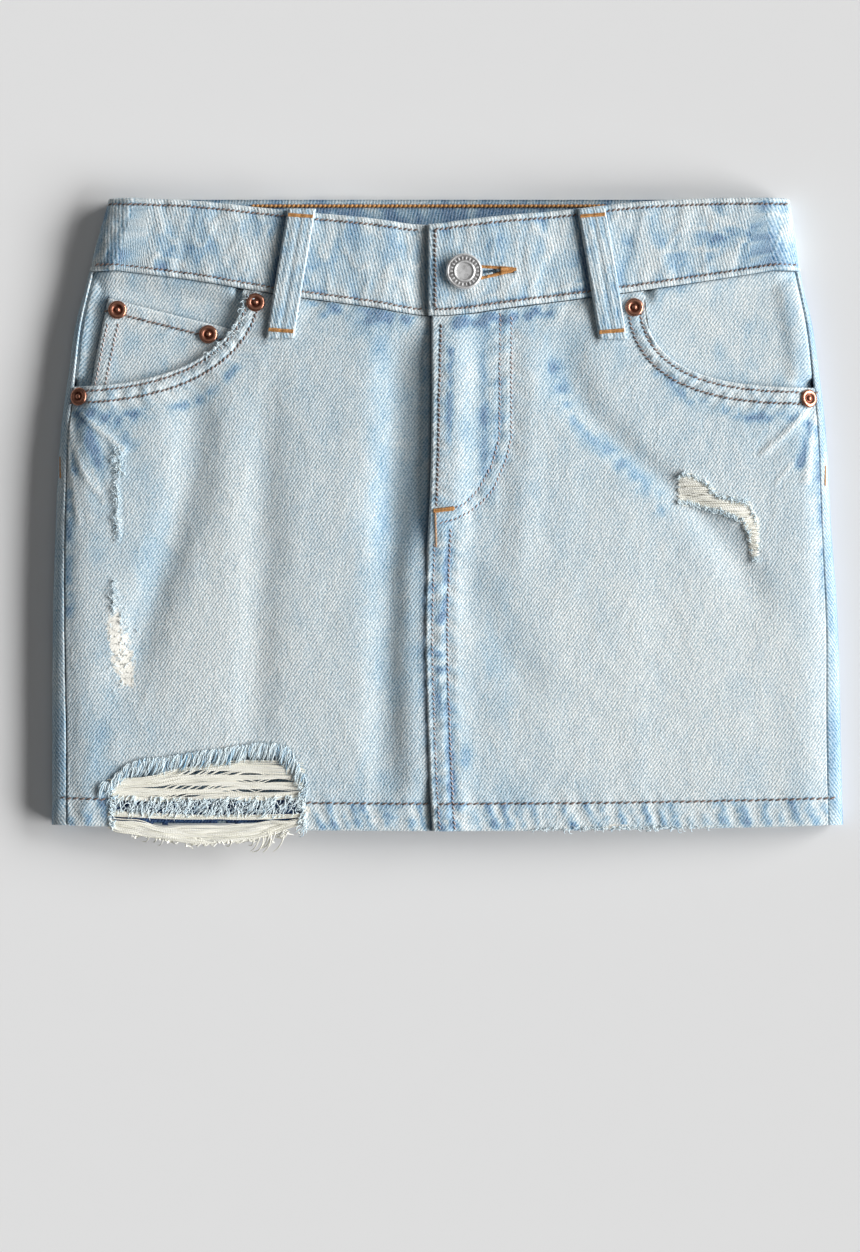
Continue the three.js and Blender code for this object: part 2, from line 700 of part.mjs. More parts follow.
// Short cut ends that hang from a narrow strip. Every third one leans the other way.
function fringe({ from, to, height, strip, top, count, length, sway, lift }) {
  const backing = ripStrip(steps(from, to, strip), (x) => top(x) - height, top);
  const ends = steps(from + YARN, to - YARN, count - 1).map((x, k) => {
    const lean = sway * (k % 3 === 0 ? 0.5 : -1) * (0.6 + 0.4 * Math.sin(k * 2.4));
    const reach = length * (0.78 + 0.22 * Math.sin(k * 1.7));
    const root = top(x) - height / 2;
    return strand(
      [
        onFront(x, root, RIP_STRIP.lift - RIP_STRIP.thick / 2),
        onFront(x + lean * 0.4, root - reach * 0.4, lift),
        onFront(x + lean, root - reach, lift),
      ],
      2,
    );
  });
  return geometryOf(wasm.Manifold.union([backing, ...ends]));
}

// Materials and assembly

function finish(color, roughness, metalness = 0) {
  return new THREE.MeshStandardMaterial({ color, roughness, metalness });
}

const denim = finish("#c3d2dc", 0.9);
const paleDenim = finish("#cdd9e0", 0.9);
const whiteCotton = finish("#e6e4d8", 0.9);
const ecruYarn = finish("#e4e1d3", 0.95);
const frayedBlue = finish("#a9c3d3", 0.95);
const copper = finish("#a5654a", 0.4, 1);
const nickel = finish("#c9cacc", 0.35, 1);

const pieces = {
  front_panel_right: [rightFront(), denim],
  front_panel_left: [leftFront(), denim],
  back_panel_right: [backPanel(-1), denim],
  back_panel_left: [backPanel(1), denim],
  waistband: [waistband(), denim],
  pocket_facing_right: [facing(POCKETS.right), paleDenim],
  pocket_facing_left: [facing(POCKETS.left), paleDenim],
  coin_pocket: [coinPocket(), paleDenim],
  fly_shield: [flyShield(), denim],
  zip: [zip(), whiteCotton],
  belt_loop_right: [beltLoop(BELT_LOOPS.right), denim],
  belt_loop_left: [beltLoop(BELT_LOOPS.left), denim],
  waist_button: [button(), nickel],
  rip_weft_yarn: [weftYarn(), ecruYarn],
  rip_upper_fringe: [fringe(UPPER_FRINGE), frayedBlue],
  rip_hem_fringe: [fringe(HEM_FRINGE), frayedBlue],
};
for (const [name, spot] of Object.entries(RIVETS)) pieces[name] = [rivet(spot), copper];

const skirt = new THREE.Group();
for (const [name, [geometry, material]] of Object.entries(pieces)) {
  const mesh = new THREE.Mesh(geometry, material);
  mesh.name = name;
  skirt.add(mesh);
}

// The origin is under the middle of the whole outline, on the surface that the skirt lies on.
const outline = new THREE.Box3().setFromObject(skirt);
const middle = outline.getCenter(new THREE.Vector3());
skirt.position.set(-middle.x, -middle.y, -outline.min.z);

export default skirt;
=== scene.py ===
import math
import bpy
import numpy as np
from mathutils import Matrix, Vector


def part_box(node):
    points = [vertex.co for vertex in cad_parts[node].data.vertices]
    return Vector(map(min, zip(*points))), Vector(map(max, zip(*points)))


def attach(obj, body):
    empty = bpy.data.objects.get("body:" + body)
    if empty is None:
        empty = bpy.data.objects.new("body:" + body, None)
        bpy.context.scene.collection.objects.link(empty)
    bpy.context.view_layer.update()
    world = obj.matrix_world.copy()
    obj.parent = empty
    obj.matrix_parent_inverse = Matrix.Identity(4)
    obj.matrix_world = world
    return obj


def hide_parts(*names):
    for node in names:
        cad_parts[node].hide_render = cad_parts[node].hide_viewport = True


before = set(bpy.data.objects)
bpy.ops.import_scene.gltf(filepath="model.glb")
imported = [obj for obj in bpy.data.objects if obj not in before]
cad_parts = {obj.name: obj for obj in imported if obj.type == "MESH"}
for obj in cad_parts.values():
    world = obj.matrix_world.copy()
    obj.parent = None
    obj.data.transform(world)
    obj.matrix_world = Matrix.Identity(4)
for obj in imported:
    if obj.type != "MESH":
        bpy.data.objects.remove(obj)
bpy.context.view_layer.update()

mm = 0.001
pi = math.pi

# Curves, noise and other small helpers; lengths are millimetres until a mesh is made

def curveOf(table, key, column):  # a smooth curve through one column of a table
    ts, vs = np.array(table[key], float), np.array(table[column], float)
    last = len(ts) - 1

    def at(t):
        t = np.clip(np.asarray(t, float), ts[0], ts[-1])
        i = np.clip(np.searchsorted(ts, t, side="right"), 1, last)
        before, after = np.where(i >= 2, i - 2, i), np.where(i < last, np.minimum(i + 1, last), i - 1)
        t0, t1 = ts[i - 1], ts[i]
        wp, wn = 0.5 * (t1 - t0) / (t0 - ts[before]), 0.5 * (t1 - t0) / (ts[after] - t1)
        p = (t - t0) / (t1 - t0)
        a = -wp * p**3 + 2 * wp * p**2 - wp * p
        b = (1 + wp) * p**3 + (-1.5 - 2 * wp) * p**2 + (-0.5 + wp) * p + 1
        c = (-1 - wn) * p**3 + (1.5 + wn) * p**2 + 0.5 * p
        return a * vs[before] + b * vs[i - 1] + c * vs[i] + (wn * p**3 - wn * p**2) * vs[after]

    return at


def smooth(t, low, high):
    t = np.clip((np.asarray(t, float) - low) / (high - low), 0, 1)
    return t * t * (3 - 2 * t)


def lerp(a, b, t):
    return a + (b - a) * t


def noise(x, y, size, seed):  # soft value noise from -1 to 1
    u, v = np.asarray(x, float) / size, np.asarray(y, float) / size
    iu, iv = np.floor(u).astype(np.int64), np.floor(v).astype(np.int64)
    fu, fv = u - iu, v - iv
    fu, fv = fu * fu * (3 - 2 * fu), fv * fv * (3 - 2 * fv)

    def corner(a, b):
        h = (a * 374761393 + b * 668265263 + seed * 974634777) & 0xFFFFFFFF
        h = ((h ^ (h >> 13)) * 1274126177) & 0xFFFFFFFF
        return ((h ^ (h >> 16)) & 0xFFFF) / 32767.5 - 1

    top = lerp(corner(iu, iv), corner(iu + 1, iv), fu)
    return lerp(top, lerp(corner(iu, iv + 1), corner(iu + 1, iv + 1), fu), fv)


def drift(x, row, size, seed):  # the same along one line; each row number gives another line
    return noise(x, x * 0 + row, size, seed)


def patchy(x, y, size, seed):  # noise with flatter patches and crisper edges
    return np.tanh(2.6 * noise(x, y, size, seed))


def near(d, width):  # a soft peak, 1 where d is nothing
    return np.exp(-((d / width) ** 2))


def blob(x, y, cx, cy, rx, ry, turn=0):  # a soft spot, 1 in its middle
    a = math.radians(turn)
    dx, dy = x - cx, y - cy
    return np.exp(-(((dx * math.cos(a) + dy * math.sin(a)) / rx) ** 2)
        - ((dy * math.cos(a) - dx * math.sin(a)) / ry) ** 2)


def alongPath(x, y, path):  # distance to a line of points, and the length along it to the nearest place
    path = np.asarray(path, float)
    best, where, start = np.full(np.shape(x), 1e9), np.zeros(np.shape(x)), 0.0
    for a, b in zip(path[:-1], path[1:]):
        step = b - a
        length = math.hypot(*step)
        t = np.clip(((x - a[0]) * step[0] + (y - a[1]) * step[1]) / length**2, 0, 1)
        d = np.hypot(x - a[0] - t * step[0], y - a[1] - t * step[1])
        nearer = d < best
        best, where = np.where(nearer, d, best), np.where(nearer, start + t * length, where)
        start += length
    return best, where


def spaced(path, step):  # points along a line of points at even steps, and their directions
    path = np.asarray(path, float)
    runs = np.hypot(*np.diff(path, axis=0).T)
    total = np.concatenate([[0], np.cumsum(runs)])
    at = np.arange(0, total[-1], step)
    pts = np.stack([np.interp(at, total, path[:, k]) for k in (0, 1)], 1)
    way = [np.interp(at + 0.5, total, path[:, k]) - np.interp(at - 0.5, total, path[:, k]) for k in (0, 1)]
    way = np.stack(way, 1)
    return pts, way / np.maximum(np.hypot(*way.T), 1e-6)[:, None]


# The skirt's laid form, as in its solids

form = {
    "y": [0, 45, 95, 146, 186, 213, 235, 260, 294],
    "left": [185.0, 185.0, 184.6, 183.3, 181.0, 177.4, 174.0, 167.4, 158.2],
    "right": [184.6, 183.6, 182.2, 178.9, 176.7, 173.6, 170.2, 164.4, 159.4],
    "side": [14.0, 14.5, 15.0, 15.5, 15.5, 15.0, 14.5, 14.0, 13.0],
    "crown": [3.0, 4.0, 4.5, 5.0, 5.0, 5.0, 4.5, 4.0, 3.0],
    "seam": [7.0, 6.8, 5.6, 4.6, 3.8, 3.2, 2.4, 1.6, 1.6],
    "rollFront": 13, "rollBack": 6, "rollLow": 6.5, "dome": 1.5,
    "ditch": 1.6, "ditchWidth": 7, "corner": 2.6, "cornerY": 203, "cornerHeight": 16,
}
waistline = {
    "x": [-155, -120, -80, -38, -9, 8, 26, 52, 88, 120, 152],
    "top": [294.0, 292.6, 288.4, 284.3, 281.2, 283.2, 285.2, 287.6, 291.8, 293.6, 294.0],
    "bottom": [260.0, 255.6, 248.8, 243.0, 238.6, 239.4, 242.0, 245.4, 250.2, 255.0, 260.0],
}
centreLine = {"y": [0, 21, 55, 88, 128, 151, 200, 238], "x": [-7.2, -8.5, -9.8, -10.6, -9.7, -8.4, -7.4, -7.7]}
folds = {  # soft troughs, lower end to upper end; a negative depth is a ridge
    "x0": [-150, -90, -31, -22, 143, 38, 33],
    "y0": [62, 36, 16, 128, 104, 62, 118],
    "x1": [-120, -85, -27, -22, 53, 5, 37],
    "y1": [212, 206, 170, 230, 232, 128, 228],
    "bow": [8, 0, 0, -1, -6, -2, 2],
    "sway": [-3, 0, 0, 0, 11, 0, 0],
    "width": [10, 9, 8, 10, 10, 12, 7],
    "depth": [2.1, 1.4, 1.8, 3.1, 1.8, 1.0, -0.8],
}
halfLeft, halfRight = curveOf(form, "y", "left"), curveOf(form, "y", "right")
sideHeight, crown, seamInset = curveOf(form, "y", "side"), curveOf(form, "y", "crown"), curveOf(form, "y", "seam")
bandTop, bandBottom = curveOf(waistline, "x", "top"), curveOf(waistline, "x", "bottom")
centreEdge = curveOf(centreLine, "y", "x")
hemDepth, bandDepth, bandSideTop, bandSideBottom = 12.8, 38, 294.0, 260.0
bandGap = 0.3  # between the band's lower edge and the cloth below it
edgeSteps = np.array([0, 0.25, 0.6, 1.1])  # how rows of points crowd where an edge is turned

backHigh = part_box("back_panel_left")[1]  # the solids' own origin, read off a back panel
shift = np.array([backHigh[0] / mm - max(form["right"]), backHigh[1] / mm - (bandSideBottom - bandGap), 0.0])


def halfWidth(side, y):
    return np.where(side < 0, halfLeft(y), halfRight(y))


def seamX(side, y):
    return side * (halfWidth(side, y) - seamInset(y))


def panelEdgeX(side, y):  # the front's edge, just short of the seam
    return seamX(side, y) - side * 0.4


def hemLine(x):
    return -1.0 + 2.6 * (np.asarray(x, float) / 185.0) ** 2


def foldDepth(x, y):
    total = 0
    for x0, y0, x1, y1, bow, sway, width, depth in zip(*folds.values()):
        t = (y - y0) / (y1 - y0)
        turn = pi * np.clip(t, 0, 1)
        spine = lerp(x0, x1, t) + bow * np.sin(turn) + sway * np.sin(2 * turn)
        ends = smooth(t, -0.12, 0.2) * (1 - smooth(t, 0.8, 1.12))
        total = total + depth * ends * near(x - spine, width)
    return total


def frontHeight(x, y):
    side, reach = np.where(x < 0, -1.0, 1.0), np.abs(x)
    half, rim = halfWidth(side, y), sideHeight(y)
    start = half - form["rollFront"]
    rise = np.where(reach > start, np.sqrt(np.clip(1 - ((reach - start) / form["rollFront"]) ** 2, 0, 1)), 1.0)
    dome = crown(y) * np.clip(1 - (reach / start) ** 2, 0, 1) ** form["dome"]
    base = np.where(reach > start, form["rollLow"] + (rim - form["rollLow"]) * rise, rim + dome)
    corner = near(y - form["cornerY"], form["cornerHeight"])
    away = (reach - (half - seamInset(y))) / form["ditchWidth"]
    ditch = (form["ditch"] + form["corner"] * corner) * rise * rise * np.exp(-away * away)
    return base - foldDepth(x, y) - ditch


def frontSkin(x, y):  # points and outward directions of the front
    e = 0.02
    x, y = np.broadcast_arrays(np.asarray(x, float), np.asarray(y, float))
    dx = (frontHeight(x + e, y) - frontHeight(x - e, y)) / (2 * e)
    dy = (frontHeight(x, y + e) - frontHeight(x, y - e)) / (2 * e)
    n = np.stack([-dx, -dy, np.ones_like(dx)], -1)
    return np.stack([x, y, frontHeight(x, y)], -1), n / np.linalg.norm(n, axis=-1, keepdims=True)


def rollPoint(side, angle, y):
    half = halfWidth(side, y)
    above = side * (half - form["rollFront"] * (1 - np.cos(angle)))
    below = side * (half - form["rollBack"] * (1 - np.cos(angle)))
    low = form["rollLow"] * (1 + np.sin(np.minimum(angle, 0)))
    z = np.where(angle >= 0, frontHeight(above, y), low)
    return np.stack([np.where(angle >= 0, above, below), y, z], -1)


def rollSkin(side, angle, y):
    e = 0.004
    angle, y = np.broadcast_arrays(np.asarray(angle, float), np.asarray(y, float))
    turn = rollPoint(side, angle + e, y) - rollPoint(side, angle - e, y)
    up = rollPoint(side, angle, y + e) - rollPoint(side, angle, y - e)
    n = -side * np.cross(turn, up)
    return rollPoint(side, angle, y), n / np.maximum(np.linalg.norm(n, axis=-1, keepdims=True), 1e-9)


def flatSkin(x, y):
    x, y = np.broadcast_arrays(np.asarray(x, float), np.asarray(y, float))
    return np.stack([x, y, 0 * x], -1), np.broadcast_to(np.array([0, 0, -1.0]), x.shape + (3,))


def rounded(d, r):  # how far a turned cloth edge falls away, by the distance in from it
    return -r * (1 - np.sqrt(np.clip(1 - np.clip(1 - np.asarray(d, float) / r, 0, 1) ** 2, 0, 1)))


# Meshes

def meshPiece(name, points, faces, material, values=None, uv=None, node=None, slot=None):
    points, faces = np.asarray(points, float), np.asarray(faces, np.int32)
    mesh = bpy.data.meshes.new(name)
    mesh.vertices.add(len(points))
    mesh.vertices.foreach_set("co", ((points + shift) * mm).astype(np.float32).ravel())
    mesh.loops.add(faces.size)
    mesh.loops.foreach_set("vertex_index", faces.ravel())
    mesh.polygons.add(len(faces))
    mesh.polygons.foreach_set("loop_start", np.arange(0, faces.size, faces.shape[1], dtype=np.int32))
    mesh.polygons.foreach_set("use_smooth", np.ones(len(faces), bool))
    if uv is not None:
        layer = mesh.uv_layers.new(name="clothMap")
        layer.data.foreach_set("uv", np.asarray(uv, np.float32)[faces.ravel()].ravel())
    for key, value in (values or {}).items():
        attribute = mesh.attributes.new(key, "FLOAT", "POINT")
        attribute.data.foreach_set("value", np.asarray(value, np.float32).ravel())
    mesh.update(calc_edges=True)
    mesh.validate()
    mesh.materials.append(material)
    piece = bpy.data.objects.new(name, mesh)
    bpy.context.scene.collection.objects.link(piece)
    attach(piece, "root")
    if node:
        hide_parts(*([node] if isinstance(node, str) else node))
    return piece


def painted(wash, wear=0.0, deep=0.0):  # how blue and how bare each point is, and how much painted shade it carries
    return {"deep": np.clip(deep, 0, 1), "wash": np.clip(wash, 0, 1), "wear": np.clip(wear, 0, 1)}


def clothShell(name, skin, lift, thick, paint, material, uv=None, keep=None, ids=None, **more):
    # a thin closed shell on a grid of skin points; cells where keep is false are left open,
    # and grid points with the same number in ids are one point
    points, normals = skin
    n, m = points.shape[:2]
    lift, thick = np.broadcast_to(lift, (n, m)), np.broadcast_to(thick, (n, m))
    outer = points + normals * lift[..., None]
    inner = outer - normals * thick[..., None]
    ids = np.arange(n * m).reshape(n, m) if ids is None else ids
    keep = np.ones((n - 1, m - 1), bool) if keep is None else keep
    a, b, c, d = ids[:-1, :-1][keep], ids[1:, :-1][keep], ids[1:, 1:][keep], ids[:-1, 1:][keep]
    tris = np.concatenate([np.stack([a, b, c], -1), np.stack([a, c, d], -1)])
    tris = tris[(tris[:, 0] != tris[:, 1]) & (tris[:, 1] != tris[:, 2]) & (tris[:, 2] != tris[:, 0])]
    flat = outer.reshape(-1, 3)
    faced = np.cross(flat[tris[:, 1]] - flat[tris[:, 0]], flat[tris[:, 2]] - flat[tris[:, 0]])
    if np.sum(faced * normals.reshape(-1, 3)[tris[:, 0]]) < 0:
        tris = tris[:, ::-1]
    edges = np.concatenate([tris[:, [0, 1]], tris[:, [1, 2]], tris[:, [2, 0]]])
    size = n * m
    rim = ~np.isin(edges[:, 0] * size + edges[:, 1], edges[:, 1] * size + edges[:, 0])
    p, q = edges[rim].T
    faces = [tris, tris[:, ::-1] + size, np.stack([q, p, p + size], -1), np.stack([q, p + size, q + size], -1)]
    faces = np.concatenate(faces)
    used = np.unique(faces)
    index = np.full(2 * size, -1)
    index[used] = np.arange(len(used))
    if uv is None:
        uv = points[..., :2]
    both = lambda v: np.concatenate([v.reshape(size, -1)] * 2)[used]
    values = {k: both(np.broadcast_to(v, (n, m)))[:, 0] for k, v in {"deep": 0.0, **paint}.items()}
    values["inner"] = (used >= size).astype(float)
    every = np.concatenate([flat, inner.reshape(-1, 3)])[used]
    return meshPiece(name, every, index[faces], material, values, both(np.asarray(uv)), **more)


def strandMesh(name, paths, radius, material, sides=4, tint=None, taper=0.35, **more):
    # many yarns at once: paths is strands by points by 3
    paths = np.asarray(paths, float)
    count, steps = paths.shape[:2]
    along = np.gradient(paths, axis=1)
    along /= np.maximum(np.linalg.norm(along, axis=-1, keepdims=True), 1e-9)
    up = np.where(np.abs(along[..., 2:3]) > 0.9, np.array([1.0, 0, 0]), np.array([0, 0, 1.0]))
    across = np.cross(along, up)
    across /= np.maximum(np.linalg.norm(across, axis=-1, keepdims=True), 1e-9)
    third = np.cross(across, along)
    t = np.linspace(0, 1, steps)
    width = np.broadcast_to(np.asarray(radius, float).reshape(-1, 1), (count, steps))
    width = width * (1 - (1 - taper) * smooth(t, 0.7, 1))
    turn = np.arange(sides) * 2 * pi / sides
    ring = across[:, :, None] * np.cos(turn)[:, None] + third[:, :, None] * np.sin(turn)[:, None]
    points = paths[:, :, None] + ring * width[:, :, None, None]
    ids = np.arange(count * steps * sides).reshape(count, steps, sides)
    nextOne = np.roll(ids, -1, 2)
    walls = np.stack([ids[:, :-1], nextOne[:, :-1], nextOne[:, 1:], ids[:, 1:]], -1).reshape(-1, 4)
    caps = [ids[:, 0, ::-1].reshape(-1, 4), ids[:, -1].reshape(-1, 4)] if sides == 4 else []
    tint = np.zeros(count) if tint is None else np.asarray(tint, float)
    values = {"tint": np.repeat(tint, steps * sides)}
    run = np.linalg.norm(np.diff(paths, axis=1), axis=-1)
    run = np.concatenate([np.zeros((count, 1)), np.cumsum(run, 1)], 1)
    uv = np.stack(np.broadcast_arrays(turn / (2 * pi), run[..., None]), -1).reshape(-1, 2)
    return meshPiece(name, points.reshape(-1, 3), np.concatenate([walls, *caps]), material, values, uv, **more)


def onFront(x, y, lift):
    points, normals = frontSkin(x, y)
    return points + normals * np.asarray(lift, float)[..., None]


# Shader maths: one wrapped socket with overloaded operators

class Wire:
    def __init__(self, sheet, socket):
        self.sheet, self.socket = sheet, socket

    def maths(self, operation, *values):
        return self.sheet.add("ShaderNodeMath", {"operation": operation}, dict(enumerate(values)))

    def __add__(self, other): return self.maths("ADD", self, other)
    def __radd__(self, other): return self.maths("ADD", other, self)
    def __sub__(self, other): return self.maths("SUBTRACT", self, other)
    def __rsub__(self, other): return self.maths("SUBTRACT", other, self)
    def __mul__(self, other): return self.maths("MULTIPLY", self, other)
    def __rmul__(self, other): return self.maths("MULTIPLY", other, self)
    def __truediv__(self, other): return self.maths("DIVIDE", self, other)
    def __rtruediv__(self, other): return self.maths("DIVIDE", other, self)
    def __pow__(self, other): return self.maths("POWER", self, other)
    def __neg__(self): return self.maths("MULTIPLY", self, -1.0)
    def sin(self): return self.maths("SINE", self)
    def clip(self): return self.maths("MINIMUM", self.maths("MAXIMUM", self, 0.0), 1.0)
    def over(self, low, high):
        settings = {"interpolation_type": "SMOOTHSTEP"}
        return self.sheet.add("ShaderNodeMapRange", settings, {"Value": self, "From Min": low, "From Max": high})


class Finish:  # one material and its nodes
    def __init__(self, name):
        self.material = bpy.data.materials.new(name)
        self.material.use_nodes = True
        self.nodes, self.links = self.material.node_tree.nodes, self.material.node_tree.links
        self.nodes.clear()
        self.shader = self.nodes.new("ShaderNodeBsdfPrincipled")
        out = self.nodes.new("ShaderNodeOutputMaterial")
        self.links.new(self.shader.outputs[0], out.inputs[0])

    def add(self, kind, settings=None, sockets=None, out=0):
        node = self.nodes.new(kind)
        for key, value in (settings or {}).items():
            if key == "stops":
                while len(node.color_ramp.elements) < len(value):
                    node.color_ramp.elements.new(0.5)
                for element, (at, colour) in zip(node.color_ramp.elements, value):
                    element.position, element.color = at, (*colour, 1)
            else:
                setattr(node, key, value)
        for key, value in (sockets or {}).items():
            self.put(node.inputs[key], value)
        return Wire(self, node.outputs[out])

    def put(self, target, value):
        if isinstance(value, Wire):
            self.links.new(value.socket, target)
        else:
            target.default_value = value

    def surface(self, **sockets):
        for key, value in sockets.items():
            self.put(self.shader.inputs[key.replace("_", " ")], value)
        return self.material

    def map(self, name="clothMap"):
        return self.add("ShaderNodeUVMap", {"uv_map": name})

    def split(self, vector):
        node = self.add("ShaderNodeSeparateXYZ", None, {0: vector}).socket.node
        return [Wire(self, node.outputs[k]) for k in range(3)]

    def join(self, x, y, z=0.0):
        return self.add("ShaderNodeCombineXYZ", None, {0: x, 1: y, 2: z})

    def value(self, name):
        return self.add("ShaderNodeAttribute", {"attribute_name": name}, None, "Fac")

    def noise(self, vector, scale, detail=2.0, rough=0.5):
        return self.add("ShaderNodeTexNoise", None,
            {"Vector": vector, "Scale": scale, "Detail": detail, "Roughness": rough})

    def mix(self, share, a, b, blend="MIX"):
        settings = {"data_type": "RGBA", "blend_type": blend, "clamp_factor": True}
        node = self.add("ShaderNodeMix", settings, None, 2).socket.node
        self.put(node.inputs[0], share)
        self.put(node.inputs[6], a)
        self.put(node.inputs[7], b)
        return Wire(self, node.outputs[2])

    def bump(self, height, distance, strength=1.0, normal=None):
        sockets = {"Strength": strength, "Distance": distance, "Height": height}
        if normal is not None:
            sockets["Normal"] = normal
        return self.add("ShaderNodeBump", None, sockets)


def rgb(r, g, b, a=1.0):  # an sRGB colour of 0 to 255 as linear light
    linear = [c / 255 / 12.92 if c <= 10.31 else ((c / 255 + 0.055) / 1.055) ** 2.4 for c in (r, g, b)]
    return (*linear, a)


def rgb3(r, g, b):
    return rgb(r, g, b)[:3]


# Materials

denimLook = {
    "ramp": [(0.0, (246, 248, 246)), (0.28, (222, 234, 239)), (0.5, (184, 214, 230)),
        (0.74, (134, 185, 217)), (1.0, (76, 134, 180))],
    "bare": (252, 250, 242), "bareDark": (242, 239, 228), "pin": (140, 142, 136), "weft": (251, 254, 253),
    # painted shade: the last colour on the next line is the dark colour of painted shade beside raised edges
    "shadow": (0.42, 0.55, 0.63, 1), "paintedShadeColour": (34, 52, 72),
    "rib": (0.64, -0.45), "bandRib": (0.68, 0.16), "cross": (0.5, 0.42),
    "ribPart": 0.29, "crossPart": 0.08, "grainPart": 2.35, "slubPart": 0.9,
}


def denimFinish(name, look, rib="rib", shade=0.0, inside=0.25):
    f = Finish(name)
    uv = f.map()
    u, v, _ = f.split(uv)
    wander = (f.noise(uv, 0.3, 2.0) - 0.5) * 4.0
    (a, b), (c, d) = look[rib], look["cross"]
    ribs = ((u * a + v * b) * (2 * pi) + wander).sin()
    crossing = ((u * c + v * d) * (2 * pi) - wander * 1.4).sin()
    grain = f.noise(uv, 0.95, 3.0, 0.75)
    slub = f.noise(f.join(u * 1.1, v * 0.12), 1.0, 3.0, 0.6)  # thick and thin warp
    cloud = f.noise(f.join(u * 0.05, v * 0.035), 1.0, 3.0, 0.55)
    wash, wear, inner = f.value("wash"), f.value("wear"), f.value("inner")
    weave = ribs * look["ribPart"] + crossing * look["crossPart"]
    weave = weave + (grain - 0.5) * look["grainPart"] + (slub - 0.5) * look["slubPart"]
    weave = (weave + 0.54).clip()
    # painted shade: inner faces, seen only in the shade inside the skirt, take a darker, bluer tone
    tone = (wash + (cloud - 0.5) * 0.2 + (slub - 0.5) * 0.16 + inner * inside + shade).clip()
    stops = [(at, rgb3(*colour)) for at, colour in look["ramp"]]
    warp = f.add("ShaderNodeValToRGB", {"stops": stops}, {"Fac": tone})
    dark = f.mix(1.0, warp, look["shadow"], "MULTIPLY")
    light = f.mix(0.62 - tone * 0.3, warp, rgb(*look["weft"]))
    colour = f.mix(weave, dark, light)
    thread = (v * (2 * pi / 1.05) + wander * 0.5).sin() * 0.5 + 0.5  # the weft that bare patches show
    pins = f.noise(uv, 0.75, 2.0, 0.6).over(0.57, 0.63)
    bare = f.mix(thread * 0.5 + (grain - 0.5), rgb(*look["bare"]), rgb(*look["bareDark"]))
    bare = f.mix(pins * 0.8, bare, rgb(*look["pin"]))
    torn = (wear + (grain - 0.5) * 0.7).over(0.34, 0.56)
    colour = f.mix(torn, colour, bare)
    # painted shade: the cloth turns dark blue-grey where the painted shade value is high
    colour = f.mix(f.value("deep"), colour, rgb(*look["paintedShadeColour"]))
    height = weave * (1.0 - torn * 0.6) + thread * torn * 0.4
    normal = f.bump(height, 0.00022, 0.85)
    rough = 0.88 + (grain - 0.5) * 0.12
    return f.surface(Base_Color=colour, Roughness=rough, Normal=normal, Sheen_Weight=0.12, Sheen_Roughness=0.5,
        Specular_IOR_Level=0.2)


def threadFinish(name, light, dark, rough=0.6, sheen=0.1, twistPart=0.4):
    f = Finish(name)
    u, v, _ = f.split(f.map())
    twist = ((v * 0.9 + u) * (2 * pi)).sin() * 0.5 + 0.5
    tint = f.value("tint")
    fibre = f.noise(f.join(u * 3.0, v), 2.0, 2.0)
    colour = f.mix((tint + (twist - 0.5) * twistPart + (fibre - 0.5) * 0.5).clip(), rgb(*light), rgb(*dark))
    return f.surface(Base_Color=colour, Roughness=rough + (fibre - 0.5) * 0.1,
        Normal=f.bump(twist, 0.00012, 0.6), Sheen_Weight=sheen)


def metalFinish(name, bright, dull, rough, scuff, metallic=1.0):
    f = Finish(name)
    place = f.add("ShaderNodeTexCoord", None, None, "Object")
    patina = f.noise(place, 420.0, 4.0, 0.65)
    fine = f.noise(place, 2600.0, 2.0, 0.5)
    recess = f.value("recess")
    share = (patina.over(0.4, 0.72) * 0.5 + recess * 0.8).clip()
    colour = f.mix(share, rgb(*bright), rgb(*dull))
    return f.surface(Base_Color=colour, Metallic=metallic, Roughness=(rough + share * scuff).clip(),
        Normal=f.bump(patina * 0.6 + fine * 0.4, 0.00005, 0.5))


denim = denimFinish("washedDenim", denimLook)
denimBand = denimFinish("waistbandDenim", denimLook, "bandRib", 0.02, 0.3)
denimFacing = denimFinish("pocketDenim", denimLook, shade=-0.02)
unfadedLook = {**denimLook, "weft": (112, 144, 184),
    "ramp": [(0.0, (150, 176, 200)), (0.5, (64, 104, 150)), (0.8, (28, 64, 116)), (1.0, (16, 42, 92))]}
unfadedDenim = denimFinish("unfadedDenim", unfadedLook)
taupeThread = threadFinish("taupeThread", (148, 128, 120), (72, 60, 58))
paleThread = threadFinish("paleThread", (206, 186, 180), (140, 118, 112))
goldThread = threadFinish("goldThread", (216, 158, 92), (138, 88, 42))
ecruThread = threadFinish("ecruYarn", (255, 254, 246), (240, 237, 220), 0.9, 0.25, 0.25)
blueThread = threadFinish("fadedBlueYarn", (238, 250, 253), (104, 170, 208), 0.9, 0.25, 0.2)
whiteTape = threadFinish("whiteTape", (232, 230, 222), (206, 202, 190), 0.9)
copperMetal = metalFinish("agedCopper", (206, 146, 122), (92, 50, 38), 0.26, 0.3)
silverMetal = metalFinish("satinSilver", (246, 246, 246), (112, 110, 110), 0.32, 0.25, 0.6)
print("materials made")

# What is drawn on the cloth: stitch lines and seams, then colour and relief made from them

